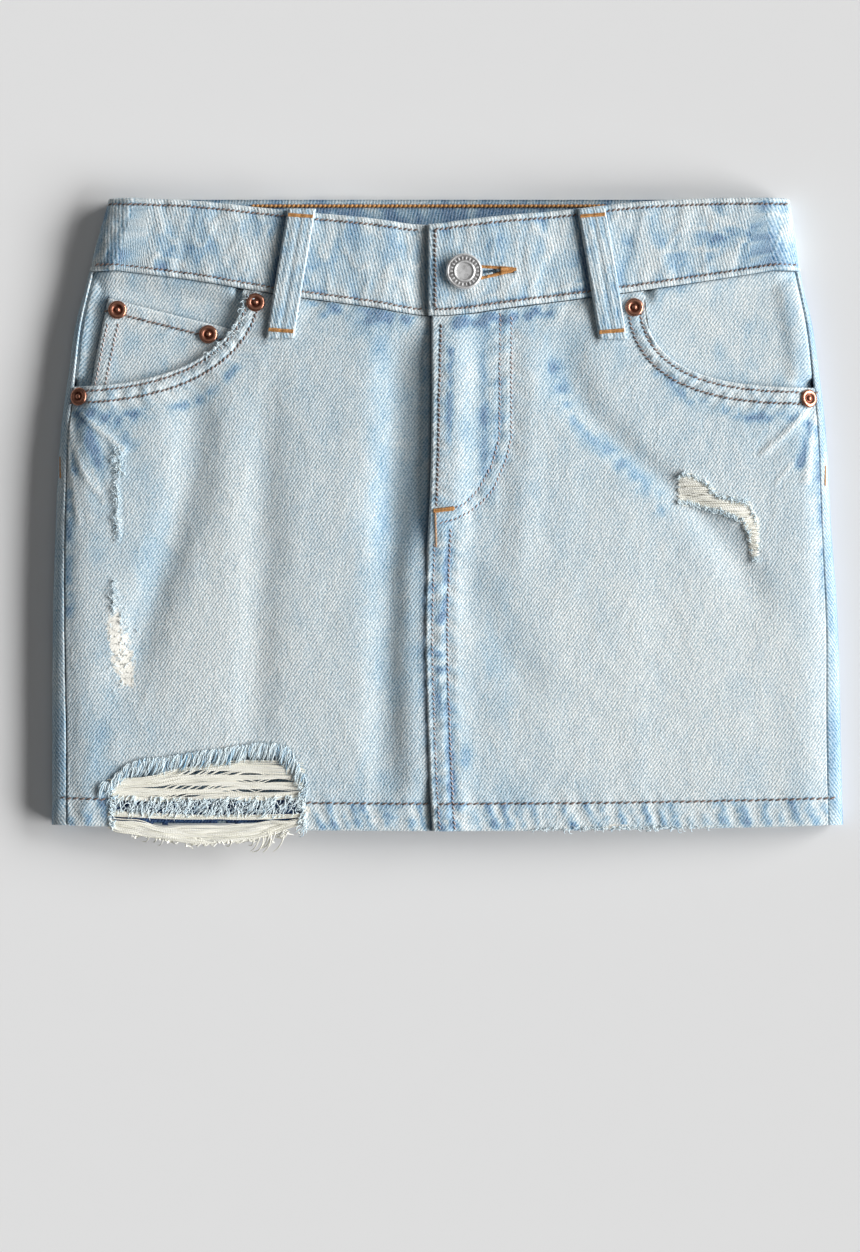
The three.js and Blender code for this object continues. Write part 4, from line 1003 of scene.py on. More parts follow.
bandCreases = [  # long pale creases at the hip
    ([(108, 279), (122, 279.5), (136, 274), (150, 270), (163, 269)], 0.9),
    ([(124, 285), (138, 280), (150, 272.5), (162, 275)], 0.8), ([(96, 268), (112, 270), (126, 269)], 0.8),
]


def bandUpperLift(x):
    return lerp(band["lift"], band["proud"], smooth(x, band["liftFull"], band["liftEnd"]))


def bandLowerLift(x):
    return lerp(band["proud"], band["sink"], smooth(x, band["sinkEnd"], band["sinkFull"]))


def bandTucks(x, rise):  # small tucks at both edges of the band, which the relief and the colour share
    tucks = np.sin(2 * pi * (x + 5 * drift(x, 0, 11, 123)) / 7.5) + 0.7 * drift(x, 0, 3, 128)
    return tucks * (near(rise, 0.2) + near(1 - rise, 0.2))


def bandRelief(x, rise):  # rise runs 0 to 1 up the band
    y = rise * bandDepth
    body = 0.3 * np.sin(pi * rise) + 0.3 * noise(x + 14 * rise, rise * 3, 8, 121)
    body = body + 0.16 * noise(x - 8 * rise, rise * 8, 4.2, 122)
    body = body + 0.34 * creases(x * 1.5, y, 8, 127) * smooth(rise, 0.08, 0.2) * (1 - smooth(rise, 0.8, 0.92))
    lows = near(rise - 0.075, 0.022) + near(rise - 0.925, 0.022)
    rims = near(rise - 0.035, 0.025) + near(rise - 0.965, 0.025)
    return body + 0.18 * bandTucks(x, rise) - 0.45 * lows + 0.22 * rims


def bandPaint(x, y, rise, front):
    up = rise * bandDepth
    wander = 4 * noise(x, up, 12, 130)
    wash = 0.42 + 0.17 * patchy(x + wander, (up + wander) * 0.6, 7, 124)
    wash = wash + 0.14 * patchy(x - 9 * rise, rise * 14, 3.4, 125) + 0.14 * noise(x, up, 1.7, 129)
    wash = wash - 0.34 * creases(x * 1.5, up, 8, 127)
    if front:
        # painted shade: the band darkens towards its right end, where it turns to face the light
        wash = wash + 0.28 * smooth(x, 138, 158)
        for cx, cy, rx, ry, turn, more in zip(*bandSpots.values()):
            wash = wash + 0.85 * more * blob(x, y, cx, cy, rx, ry, turn) * (1 + 0.6 * noise(x, y, 3, 126))
        for path, width in bandCreases:
            wash = wash - 0.5 * groove(x, y, path, width)
        # painted shadow: bluer strips along the left side of each belt loop
        for path in loopShadowStrips:
            wash = wash + 0.6 * groove(x, y, path, 1.6)
    else:
        wash = wash + 0.26 * noise(x, up * 0.12, 4, 138) + 0.1
    rims = near(rise - 0.03, 0.03) + near(rise - 0.97, 0.03)
    lows = near(rise - 0.075, 0.02) + near(rise - 0.925, 0.02)
    return np.clip(wash - 0.14 * bandTucks(x, rise) - 0.4 * rims + 0.34 * lows, 0, 1)


def makeWaistband():
    rise = np.concatenate([[0, 0.006, 0.016, 0.03], np.linspace(0.05, 0.95, 27), [0.97, 0.984, 0.994, 1]])
    upperX = np.arange(band["edge"] + 2, band["roll"], band["step"])
    upperX = np.concatenate([band["edge"] + edgeSteps, upperX])
    lowerX = np.arange(-band["roll"] + band["step"], band["under"] - 1.5, band["step"])
    lowerX = np.concatenate([lowerX, band["under"] - edgeSteps[::-1]])
    turns = np.linspace(pi / 2, -pi / 2, 44)
    backX = np.linspace(band["roll"] + 10, -band["roll"] - 10, 100)[1:-1]
    parts = []

    def frontPart(xs, liftOf):
        x = xs[:, None] + 0 * rise
        y = lerp(bandBottom(x), bandTop(x), rise)
        height = rise[None] + 0 * x
        lift, wash = liftOf(x) + bandRelief(x, height), bandPaint(x, y, height, True)
        parts.append((*frontSkin(x, y), lift, wash, x, y))

    def sidePart(side, angles):
        angle = angles[:, None] + 0 * rise
        y = lerp(bandSideBottom, bandSideTop, rise) + 0 * angle
        girth = side * (160 + (pi / 2 - angle) * 10)
        height = rise[None] + 0 * angle
        lift = band["proud"] * smooth(angle, -0.3, 1.1) + bandRelief(girth, height) * smooth(angle, -0.9, 0.3)
        # painted shade: the band's right-hand turn, which faces the light, is bluer
        wash = bandPaint(girth, y, height, False) + (0.22 if side > 0 else 0.0)
        parts.append((*rollSkin(side, angle, y), lift, wash, girth, y))

    frontPart(upperX, bandUpperLift)
    sidePart(1, turns)
    x = backX[:, None] + 0 * rise
    y = lerp(bandSideBottom, bandSideTop, rise) + 0 * x
    parts.append((*flatSkin(x, y), 0 * x, bandPaint(x, y, rise[None] + 0 * x, False) + 0.08, -x + 360, y))
    sidePart(-1, turns[::-1])
    frontPart(lowerX, bandLowerLift)
    points, normals, lift, wash, u, v = (np.concatenate([p[k] for p in parts]) for k in range(6))
    lift = lift + rounded(rise * bandDepth, 0.9)[None] + rounded((1 - rise) * bandDepth, 0.9)[None]
    ends = np.minimum(np.arange(len(u)), np.arange(len(u))[::-1])[:, None]  # stations in from the nearer end
    lift = lift + rounded(np.select([ends == 0, ends == 1, ends == 2], edgeSteps[:3], 9.0), 0.8)
    wash = wash - 0.2 * (ends < 3)
    upper = np.arange(len(points) - 1)[:, None] < len(upperX)
    mid = (points[:-1, :-1] + points[1:, 1:]) / 2
    along = mid[..., 0] - button["x"]
    taper = lerp(1.5, hole["slit"], np.clip((along - hole["eyeEnd"]) / (hole["end"] - hole["eyeEnd"]), 0, 1))
    inHole = (along > -hole["eye"]) & (along < hole["end"]) & (np.abs(mid[..., 1] - button["y"]) < taper) & upper
    # painted shadow: a dark line on the lower band just left of the upper band's end
    deep = 0.85 * near(u - band["edge"] + 0.6, 1.2) * (u < band["edge"] - 0.05)
    # painted shadow: darker strips along the left side of each belt loop
    for path in loopShadowStrips:
        deep = deep + 0.6 * groove(u, v, path, 1.1)
    paint = painted(wash, deep=deep)
    return clothShell("waistbandCloth", (points, normals), lift, band["thick"], paint, denimBand,
        uv=np.stack([u, v], -1), keep=~inHole, node="waistband", slot="denim")


waistband = makeWaistband()
print("waistband made")

# Belt loops, fly shield and zip

loops = {
    "right": {"top": (-67.9, 288.2), "foot": (-78.1, 228.0), "node": "belt_loop_right"},
    "left": {"top": (66.5, 288.4), "foot": (76.5, 227.6), "node": "belt_loop_left"},
    "width": 13, "thick": 1.8, "long": 61,
}
loopRise = {"along": [0, 0.15, 0.33, 0.6, 0.9, 1], "lift": [2.1, 2.4, 3.7, 4.0, 3.7, 3.1]}
loopLiftAt = curveOf(loopRise, "along", "lift")


def loopLift(across, along):  # two raised ridges run the loop's length between sewn lines
    w = np.abs(across) / (loops["width"] / 2)
    ridges = 0.22 * near(w - 0.34, 0.24) + 0.12 * near(w - 0.88, 0.12) - 0.1 * near(w, 0.1)
    tacks = -0.4 * (near(along - 0.05, 0.03) + near(along - 0.95, 0.03))
    return loopLiftAt(along) + ridges + tacks


def makeLoop(key, name):
    loop = loops[key]
    half = loops["width"] / 2
    rim = np.array([0, 0.2, 0.5])
    across = np.concatenate([-half + rim, np.linspace(-half + 1, half - 1, 22), half - rim[::-1]])[:, None]
    along = np.concatenate([[0, 0.003, 0.008, 0.014], np.linspace(0.03, 0.97, 52), [0.986, 0.992, 0.997, 1]])
    x = lerp(loop["foot"][0], loop["top"][0], along) + across + 0 * along
    y = lerp(loop["foot"][1], loop["top"][1], along) + 0 * across
    fall = rounded(half - across, 0.7) + rounded(across + half, 1.5)
    lift = loopLift(across, along) + fall + rounded(np.minimum(along, 1 - along) * loops["long"], 0.7)
    lift = lift + 0.1 * noise(x, y, 5, 131)
    wash = 0.42 + 0.26 * noise(across * 1.6, along * 36, 2.4, 132) + 0.16 * noise(x, y, 6, 133)
    w = np.abs(across) / half
    wash = wash + 0.1 * near(w - 0.62, 0.12) - 0.2 * near(w - 1, 0.1) + 0.06 * near(w, 0.14)
    thick = np.maximum(0.3, loops["thick"] + fall)
    return clothShell(name, frontSkin(x, y), lift, thick, painted(wash), denimBand,
        uv=np.stack([x, y], -1), node=loop["node"], slot="denim")


loopRight = makeLoop("right", "beltLoopRight")
loopLeft = makeLoop("left", "beltLoopLeft")

flyBack = {"shieldFrom": 1, "shieldWidth": 34, "foot": 147, "shieldLift": -2.95,
    "shieldThick": 1.2, "zipFrom": 9.3, "zipWidth": 18, "zipFoot": 152, "zipTop": 235, "zipLift": -1.75,
    "zipThick": 0.9}


def makeFlyBack():
    reach = flyBack["shieldFrom"] + np.linspace(0, 1, 20)[:, None] * flyBack["shieldWidth"]
    top = bandBottom(centreEdge(flyBack["foot"]) + reach) - 0.6
    y = lerp(flyBack["foot"], top, np.linspace(0, 1, 40))
    x = centreEdge(y) + reach
    paint = painted(0.45 + 0.1 * noise(x, y, 8, 141))
    shield = clothShell("flyShield", frontSkin(x, y), flyBack["shieldLift"], flyBack["shieldThick"], paint, denim,
        node="fly_shield", slot="denim")
    y = lerp(flyBack["zipFoot"], flyBack["zipTop"], np.linspace(0, 1, 60))[None] + np.zeros((14, 1))
    x = centreEdge(y) + flyBack["zipFrom"] + np.linspace(0, 1, 14)[:, None] * flyBack["zipWidth"]
    paint = {"tint": 0.2 + 0.1 * noise(x, y, 2, 142)}
    zipTape = clothShell("zipTape", frontSkin(x, y), flyBack["zipLift"], flyBack["zipThick"], paint, whiteTape,
        node="zip", slot="white_cotton")
    return shield, zipTape


flyShield, zipTape = makeFlyBack()
print("belt loops, fly shield and zip made")

# Stitching: each stitch is a short bead of thread that dips into the cloth at both ends

def bandLift(x, y):
    low, high = bandBottom(x), bandTop(x)
    upper = x > band["edge"]
    return np.where(upper, bandUpperLift(x), bandLowerLift(x)) + bandRelief(x, (y - low) / (high - low))


stitch = {"gap": 0.3, "sway": 0.12, "high": 0.34, "lean": 0.4}


def stitchPaths(path, liftAt, pitch, seed, skip):
    starts, way = spaced(path, pitch)
    k = np.arange(len(starts))
    square = np.stack([-way[:, 1], way[:, 0]], 1)
    aside = square * (stitch["sway"] * drift(k * 7.3, 0, 1.0, seed))[:, None]
    t = np.linspace(0, 1, 6)
    across = square[:, None] * (stitch["lean"] * (2 * t - 1))[None, :, None]
    long = (t * pitch * (1 - stitch["gap"]))[None, :, None]
    xy = starts[:, None] + way[:, None] * long + aside[:, None] + across
    if skip is not None:
        xy = xy[~skip(xy[:, 3, 0], xy[:, 3, 1])]
    x, y = xy[..., 0], xy[..., 1]
    arch = stitch["high"] * np.sin(pi * t) ** 0.6 - 0.12
    return onFront(x, y, liftAt(x, y) + arch)


def makeStitches(name, runs, radius, material):
    paths = [stitchPaths(lines[key], liftAt, step, seed, skip) for key, liftAt, step, seed, skip in runs]
    paths = np.concatenate(paths)
    k = np.arange(len(paths))
    tint = 0.35 + 0.35 * drift(k * 3.7, 0, 1.0, 7)
    strandMesh(name, paths, radius, material, sides=5, tint=tint, taper=0.55)


def inRip(x, y):
    return ~outsideRip(x, y) & (x < 0)


def offPocket(x, y):
    return y < mouthAt(pockets["right"], x)


pitch, hemPitch = 2.3, 3.2
bandRuns = {
    "bandRightFoot": rowPath(lambda x: bandBottom(x) + 2.75, -164, -12),
    "bandLeftFoot": rowPath(lambda x: bandBottom(x) + 2.75, -6, 162),
    "bandRightTop": rowPath(lambda x: bandTop(x) - 2.9, -158, -12),
    "bandLeftTop": rowPath(lambda x: bandTop(x) - 2.9, -6, 158),
    "bandEnd": np.stack([np.full(12, band["edge"] + 3.2), np.linspace(242.5, 278.5, 12)], 1),
}
topRuns = [  # line, the lift of the cloth there, pitch, seed, where no stitch is
    ("mouthRight", rightLift, pitch, 1, None), ("mouthRight2", rightLift, pitch, 2, None),
    ("mouthLeft", leftLift, pitch, 3, None), ("mouthLeft2", leftLift, pitch, 4, None),
    ("hemLeft", rightLift, hemPitch, 5, inRip), ("hemRight", leftLift, hemPitch, 6, None),
    ("flyEdge", leftLift, pitch, 9, None), ("coinHem", coinLift, pitch, 12, offPocket),
    *[(key, bandLift, pitch, 20 + k, None) for k, key in enumerate(bandRuns)],
]
finerRuns = [
    ("flyInner", leftLift, pitch, 10, None), ("flyOuter", leftLift, pitch, 11, None),
    ("seamNear", leftLift, pitch, 7, None), ("seamFar", leftLift, pitch, 8, None),
    ("coinSide", coinLift, pitch, 14, offPocket), ("coinSide2", coinLift, pitch, 15, offPocket),
]
lines.update(bandRuns)
makeStitches("topStitches", topRuns, 0.47, taupeThread)
makeStitches("finerStitches", finerRuns, 0.27, paleThread)


def satinBar(a, b, width, liftAt, count, high=0.55, seed=3):  # close stitches across a short line
    t = np.linspace(0, 1, count)
    a, b = np.array(a, float), np.array(b, float)
    mid = a + (b - a) * t[:, None]
    way = (b - a) / np.hypot(*(b - a))
    across = np.array([-way[1], way[0]])
    s = np.linspace(-1, 1, 6)
    wobble = 1 + 0.16 * drift(np.arange(count) * 5.1, 0, 1.0, seed)
    xy = mid[:, None] + across * (s * width / 2)[None, :, None] * wobble[:, None, None]
    xy = xy + way * (s * 0.12)[None, :, None]
    x, y = xy[..., 0], xy[..., 1]
    return onFront(x, y, liftAt(x, y) + high * (1 - np.abs(s) ** 3) - 0.1)


def loopTopLift(key):
    loop = loops[key]

    def at(x, y):
        along = (y - loop["foot"][1]) / (loop["top"][1] - loop["foot"][1])
        return loopLift(x - lerp(loop["foot"][0], loop["top"][0], along), along)
    return at


def loopBar(key, along, seed):
    loop = loops[key]
    x = lerp(loop["foot"][0], loop["top"][0], along)
    y = lerp(loop["foot"][1], loop["top"][1], along)
    lean = 0.45 if key == "right" else -0.45
    return satinBar((x - 5.6, y + lean), (x + 5.6, y - lean), 1.7, loopTopLift(key), 40, seed=seed)


holeEnd = button["x"] + hole["end"]
buttonholeRuns = []
for sign in (-1, 1):
    a = (button["x"] + 7.6, button["y"] + sign * 2.7 - 0.2)
    b = (holeEnd - 1.0, button["y"] + sign * 0.5 + 1.1)
    buttonholeRuns.append(satinBar(a, b, 1.3, bandLift, 52, 0.45, 40 + sign))
loopBars = (("right", 0.945, 31), ("right", 0.06, 32), ("left", 0.945, 33), ("left", 0.06, 34))
orangeRuns = [
    *[loopBar(*bar) for bar in loopBars],
    satinBar((-6.4, 147.9), (2.8, 149.0), 1.9, leftLift, 32),
    satinBar((-5.6, 131.2), (-5.9, 147.0), 0.9, leftLift, 30, 0.4),
    satinBar((holeEnd - 6.4, button["y"] + 1.2), (holeEnd - 3.4, button["y"] + 1.4), 2.2, bandLift, 16, 0.9),
    satinBar((holeEnd - 3.4, button["y"] + 1.2), (holeEnd + 0.6, button["y"] + 1.3), 1.5, bandLift, 18, 0.5),
    *buttonholeRuns,
]
orangeRuns = np.concatenate(orangeRuns)
strandMesh("barTacks", orangeRuns, 0.2, goldThread, sides=5,
    tint=0.3 + 0.3 * drift(np.arange(len(orangeRuns)) * 2.9, 0, 1.0, 8))
sideRuns = np.concatenate([
    satinBar((-181.0, 163.5), (-181.2, 173.3), 0.8, lambda x, y: 0 * x - 0.1, 34, 0.25),
    satinBar((175.9, 160.0), (176.1, 169.0), 0.8, lambda x, y: 0 * x - 0.1, 30, 0.25)])
strandMesh("sideTacks", sideRuns, 0.16, goldThread, sides=5, tint=np.full(len(sideRuns), 0.3))


def chainStitches(step=2.1):  # the chain stitch on the inside of the back of the waistband
    xs = np.arange(-92, 72, step)[:, None]
    t = np.linspace(0, 1, 7)
    paths = []
    for start, long, high in ((0.0, 0.62, 0.5), (0.6, 0.42, 0.12)):
        x = xs + (start + t * long) * step
        y = 291.2 + 0.6 * (t - 0.5) + 0 * x
        paths.append(np.stack([x, y, band["thick"] + high + 0.3 * np.sin(pi * t) + 0 * x], -1))
    return np.concatenate(paths)


chainRuns = chainStitches()
strandMesh("chainStitches", chainRuns, 0.75, goldThread, sides=5,
    tint=np.repeat([0.05, 1.2], len(chainRuns) // 2), taper=0.6)
print("stitching made")

# Rivets and the button, turned and finely shaped

def turnedPiece(name, rows, count, place, lift, material, node, slot, shape=None):
    # rows are radius, height and how sheltered the metal is there
    rows = np.array(rows, float)
    radii, heights, recess = rows[:, 0], rows[:, 1], rows[:, 2]
    turn = np.arange(count) * 2 * pi / count
    r, a = np.meshgrid(radii, turn, indexing="ij")
    z, dark = (np.broadcast_to(row[:, None], r.shape) for row in (heights, recess))
    if shape:
        z, dark = shape(r, a, z, dark)
    local = np.stack([r * np.cos(a), r * np.sin(a), z], -1).reshape(-1, 3)
    base, normal = frontSkin(np.array(place[0]), np.array(place[1]))
    turnTo = np.array(Vector((0, 0, 1)).rotation_difference(Vector(normal)).to_matrix())
    points = local @ turnTo.T + base + normal * lift
    ids = np.arange(len(radii) * count).reshape(len(radii), count)
    nextOne = np.roll(ids, -1, 1)
    walls = np.stack([ids[:-1], nextOne[:-1], nextOne[1:], ids[1:]], -1).reshape(-1, 4)
    return meshPiece(name, points, walls, material, {"recess": dark.ravel()}, np.zeros((len(points), 2)),
        node=node, slot=slot)


rivetRows = [
    (0.001, 0.02, 0), (3.7, 0.02, 0.8), (4.12, 0.08, 0.7), (4.3, 0.34, 0.5), (4.28, 0.62, 0.2), (4.1, 0.92, 0),
    (3.75, 1.17, 0), (3.25, 1.3, 0), (2.75, 1.26, 0.1),
    (2.3, 1.06, 0.5), (2.0, 0.78, 0.9), (1.75, 0.66, 1), (1.5, 0.66, 1), (1.32, 0.74, 0.8), (1.18, 1.0, 0.4),
    (1.02, 1.32, 0.1), (0.8, 1.52, 0), (0.45, 1.63, 0), (0.15, 1.66, 0), (0.001, 1.66, 0),
]
rivetPlaces = {
    "rivet_coin_pocket_outer": (-154, 241.7, -1.4), "rivet_coin_pocket_inner": (-111.6, 230.2, -1.4),
    "rivet_right_pocket_inner": (-89.5, 244.8, 0.35), "rivet_right_pocket_side": (-171.6, 201.2, 0.75),
    "rivet_left_pocket_inner": (86.5, 242.5, 0.35), "rivet_left_pocket_side": (167.6, 200.3, 0.75),
}
for node, (x, y, lift) in rivetPlaces.items():
    words = node.split("_")
    turnedPiece(words[0] + "".join(w.title() for w in words[1:]), rivetRows, 48, (x, y), lift, copperMetal,
        node, "copper")

buttonBase = band["sink"] + 0.3
buttonUnder = band["lift"] + 0.5 - buttonBase
headRows = [  # radius, height above the head's underside, how sheltered
    (2.6, 0, 1), (7.4, 0, 1), (8.1, 0.25, 0.4), (8.42, 0.7, 0.1), (8.5, 1.3, 0), (8.42, 1.85, 0), (8.15, 2.3, 0),
    (7.8, 2.52, 0), (7.45, 2.5, 0.15), (7.2, 2.32, 0.7),
    *[(r, 2.26, 0.55) for r in (7.0, 6.75, 6.5, 6.25, 6.0, 5.75, 5.5, 5.3)],
    (5.1, 2.3, 0.6), (4.9, 2.5, 0.1), (4.6, 2.62, 0), (4.3, 2.6, 0), (4.05, 2.42, 0.35), (3.8, 2.3, 0.3),
    (3.2, 2.22, 0.0), (2.2, 2.14, 0), (1.1, 2.1, 0), (0.001, 2.1, 0),
]
neckRows = [(0.001, 0, 0), (2.6, 0, 0.5)]
buttonRows = neckRows + [(r, buttonUnder + high, sheltered) for r, high, sheltered in headRows]


def buttonTicks(r, a, z, dark):  # plain raised bars round the ring
    inRing = smooth(r, 5.35, 5.6) * (1 - smooth(r, 6.65, 6.95))
    wave = np.cos(a * button["ticks"])
    tick = smooth(wave, -0.15, 0.45) * inRing
    return z + 0.2 * tick, dark * (1 - tick * 0.9) + 0.35 * inRing * (1 - tick)


turnedPiece("waistButton", buttonRows, 176, (button["x"], button["y"]), buttonBase, silverMetal, "waist_button",
    "nickel", buttonTicks)
print("rivets and button made")

# Rips: loose weft, frayed warp and the fuzz round them

random = np.random.default_rng(7)
weft = {"upper": 84, "lower": 90, "points": 26, "radius": 0.3}
slits = {"x": [-115, -119, -84, -96, -125, -90], "y": [26.3, 19.4, 22.5, 25.6, 15.4, 17.8],
    "half": [12, 17, 13, 12, 13, 16], "open": [0.9, 0.8, 0.6, 0.5, 0.5, 0.6]}


def acrossRip(x):  # 0 at the rip's sides and 1 in its middle
    return np.sin(pi * (x - ripForm["left"]) / 90)


def weftThreads():
    t = np.linspace(0, 1, weft["points"])
    runs = []
    left, right = ripForm["left"] - 1.5, ripForm["right"] + 1.5
    for k in range(weft["upper"]):
        share = (k + 0.5) / weft["upper"]
        y0, y1 = lerp(23.0, 12.8, share), lerp(30.5, 13.6, share)
        x = lerp(left + random.uniform(0, 3), right - random.uniform(0, 3), t)
        y = lerp(y0, y1, smooth(t, 0.0, 0.75)) + 0.9 * np.sin(pi * t) * (1 - share)
        y = y + random.uniform(-0.45, 0.45) + 0.8 * drift(x, k * 0.3, 15, 210)
        y = y + 0.6 * drift(x, k, 13, 201) + 0.22 * drift(x, k * 3, 4, 202)
        for sx, sy, half, gap in zip(slits["x"], slits["y"], slits["half"], slits["open"]):
            d = y - sy
            y = y + gap * np.sign(d) * np.exp(-(((x - sx) / half) ** 4)) * near(d, 1.7)
        lift = -0.2 + 0.4 * drift(x, k * 2.0, 16, 203) + 0.25 * drift(x, k * 5.0, 5, 204)
        runs.append(onFront(x, y, lift))
    for k in range(weft["lower"]):
        share = (k + 0.5) / weft["lower"]
        y0, y1 = lerp(7.6, 1.2, share), lerp(7.0, 1.6, share)
        sag = lerp(2.4, 8.0, share**0.8)
        x = lerp(left + random.uniform(0, 3), right - random.uniform(0, 2), t)
        dip = np.sin(pi * np.clip(t * 1.02, 0, 1)) ** 0.8
        y = lerp(y0, y1, t) - sag * dip + random.uniform(-0.5, 0.5) + drift(x, k * 0.3, 12, 214)
        y = y + 0.7 * drift(x, k, 9, 205) + 0.3 * drift(x, k * 3, 3.6, 206)
        if share < 0.34:  # the topmost lie higher and leave a dark gap below them
            y = lerp(y0 + 0.6, y1 + 0.4, t) - 1.2 * dip + 0.35 * drift(x, k, 9, 207)
        lift = 0.6 * drift(x, k * 2.0, 15, 208) + 0.3 * drift(x, k * 4.0, 5, 209)
        runs.append(onFront(x, y, lift))
    return np.array(runs)


def looseTails(count=70):  # ends that hang below the hem, with one long lock
    t = np.linspace(0, 1, weft["points"])
    runs = []
    for k in range(count):
        lock = k < 9
        x0 = random.uniform(-88, -76) if lock else random.uniform(-154, -70)
        y0 = random.uniform(-4.5, 0) if lock else -6.0 * acrossRip(x0) + random.uniform(-1, 1.5)
        length = random.uniform(6.5, 9.5) if lock else random.uniform(0.4, 3.0)
        lean = random.uniform(-5.5, -3.5) if lock else random.uniform(-6, 6)
        curl = random.uniform(0.4, 1.6) if lock else random.uniform(-2, 2)
        x = x0 + lean * t**1.5 + curl * np.sin(pi * t)
        y = np.maximum(y0 - length * t + 0.6 * curl * np.sin(2 * pi * t), -12.0)
        lift = -0.3 + 1.3 * np.sin(pi * np.minimum(t * 1.2, 1)) - 3.0 * t
        runs.append(onFront(x, y, lift))
    return np.array(runs)


yarns = np.concatenate([weftThreads(), looseTails()])
strandMesh("ripWeftYarn", yarns, weft["radius"] * random.uniform(0.75, 1.15, len(yarns)), ecruThread, sides=5,
    tint=random.uniform(0, 0.8, len(yarns)), taper=0.6, node="rip_weft_yarn", slot="ecru_yarn")


def tufts(count, rootAt, reach, lean, liftAt, curl, lowest=-0.2, spread=0.6):
    # short frayed ends: rootAt gives a place and a direction, and each end has a lean of its own
    t = np.linspace(0, 1, 7)
    runs = []
    for _ in range(count):
        x0, y0, dx, dy = rootAt()
        length = reach * random.uniform(1 - spread, 1 + spread * 0.4)
        side = random.uniform(*lean)
        ax, ay = dx * length - dy * side, dy * length + dx * side
        bend = curl * random.uniform(-1, 1)
        x = x0 + ax * t - dy * bend * np.sin(pi * t)
        y = y0 + ay * t + dx * bend * np.sin(pi * t)
        lift = liftAt + random.uniform(-0.1, 0.5) + 0.9 * np.sin(pi * t * 0.8) * random.uniform(0.2, 1)
        runs.append(onFront(x, y, lift + lowest * t))
    return np.array(runs)


def ripEdgeRoot():
    x = random.uniform(-161, -66.5)
    if x < ripForm["left"]:
        y = float(np.interp(x, [-161, ripForm["left"]], [22, float(ripTop(ripForm["left"])) + 1.0]))
    else:
        y = float(ripTop(x)) + random.uniform(-0.5, 1.4)
    return x, y, -0.36, -0.93


def hemBandRoot():
    x = random.uniform(-156, -68)
    y = 14.6 - 1.6 * acrossRip(x) + random.uniform(-5.5, 1.6)
    return x, y, random.uniform(-0.9, 0.2), random.uniform(-0.9, -0.3)


def ripSideRoot():
    y = random.uniform(-1.5, 20)
    return ripForm["right"] + random.uniform(-1.5, 2.2), y, random.uniform(-0.8, -0.2), random.uniform(-0.9, -0.1)


def ripLeftRoot():
    y = random.uniform(0, 20)
    return ripForm["left"] + random.uniform(-1.2, 1.0), y, random.uniform(0.2, 0.9), random.uniform(-0.8, 0.2)


def makeFrayed(name, ends, radius, widest, tint, **more):  # tint is the middle and the spread of the blue
    radii = radius * random.uniform(0.8, widest, len(ends))
    strandMesh(name, ends, radii, blueThread, tint=np.clip(random.normal(*tint, len(ends)), 0, 1), **more)


upperTufts = tufts(900, ripEdgeRoot, 7.2, (-0.6, 1.1), 0.3, 1.5, lowest=-0.7)
makeFrayed("ripUpperFringe", upperTufts, 0.19, 1.25, (0.12, 0.3), node="rip_upper_fringe", slot="frayed_blue")
hemTufts = np.concatenate([
    tufts(620, hemBandRoot, 5.0, (-1.2, 1.2), -0.1, 1.8),
    tufts(110, ripSideRoot, 3.4, (-1, 1), 0.1, 1.4), tufts(70, ripLeftRoot, 2.6, (-1, 1), 0.1, 1.4)])
makeFrayed("ripHemFringe", hemTufts, 0.2, 1.25, (-0.04, 0.26), node="rip_hem_fringe", slot="frayed_blue")


def hemUnderlayer():  # the turned-in part of the hem, darker because it never faded, shows in the gap
    x = np.linspace(ripForm["left"] - 2, ripForm["right"] + 2, 70)[:, None]
    y = lerp(1.4, 14.2, np.linspace(0, 1, 12)) + 0 * x - 1.2 * acrossRip(x)
    wash = 0.88 + 0.24 * noise(x, y, 3, 211) + 0.1 * noise(x, y, 8, 212)
    ragged = noise(x[:-1] + 0 * y[:-1, :-1], y[:-1, :-1], 2.2, 213)
    keep = (y[:-1, :-1] < 12.4 + 1.6 * ragged) & (y[:-1, :-1] > 1.9 + ragged)
    skin = frontSkin(x + 0 * y, y)
    return clothShell("hemUnderlayer", skin, -1.7, 0.8, painted(wash), unfadedDenim, keep=keep, slot="denim")


underlayer = hemUnderlayer()


def smallRipThreads():
    ys = np.arange(127.0, 167.0, 0.55)
    t = np.linspace(0, 1, 16)
    runs = []
    grid = np.linspace(106, 146, 240)
    for y in ys:
        inside = grid[inSmallRip(grid, np.full_like(grid, y)) > 0.45]
        if len(inside) < 8:
            continue
        for _ in range(2):
            x = lerp(inside[0] - random.uniform(0.2, 1.6), inside[-1] + random.uniform(0.2, 1.6), t)
            up = y + random.uniform(-0.4, 0.4) + 0.5 * drift(x, y * 3, 7, 221) + 0.25 * drift(x, y * 9, 3, 222)
            lift = leftLift(x, up) + 0.25 + 0.5 * np.sin(pi * t) * random.uniform(0.2, 1.2)
            runs.append(onFront(x, up, lift + 0.25 * drift(x, y * 5, 4, 223)))
    return np.array(runs)


def smallRipRoot():
    upper = random.random() < 0.5
    x = random.uniform(107, 144.5)
    if upper:
        y = float(np.interp(x, smallRip["upperX"], smallRip["upperY"])) + random.uniform(-0.4, 1.2)
        return x, y, random.uniform(-0.7, 0.7), random.uniform(-0.9, -0.2)
    y = float(np.interp(x, smallRip["lowerX"], smallRip["lowerY"])) + random.uniform(-1.2, 0.4)
    return x, y, random.uniform(-0.7, 0.7), random.uniform(0.2, 0.9)


def wornRoot():
    i = random.integers(0, 6)
    x = bareSpots["x"][i] + random.normal(0, 0.7) * bareSpots["rx"][i]
    y = bareSpots["y"][i] + random.normal(0, 0.6) * bareSpots["ry"][i]
    return x, y, random.uniform(-1, 1), random.uniform(-1, 1)


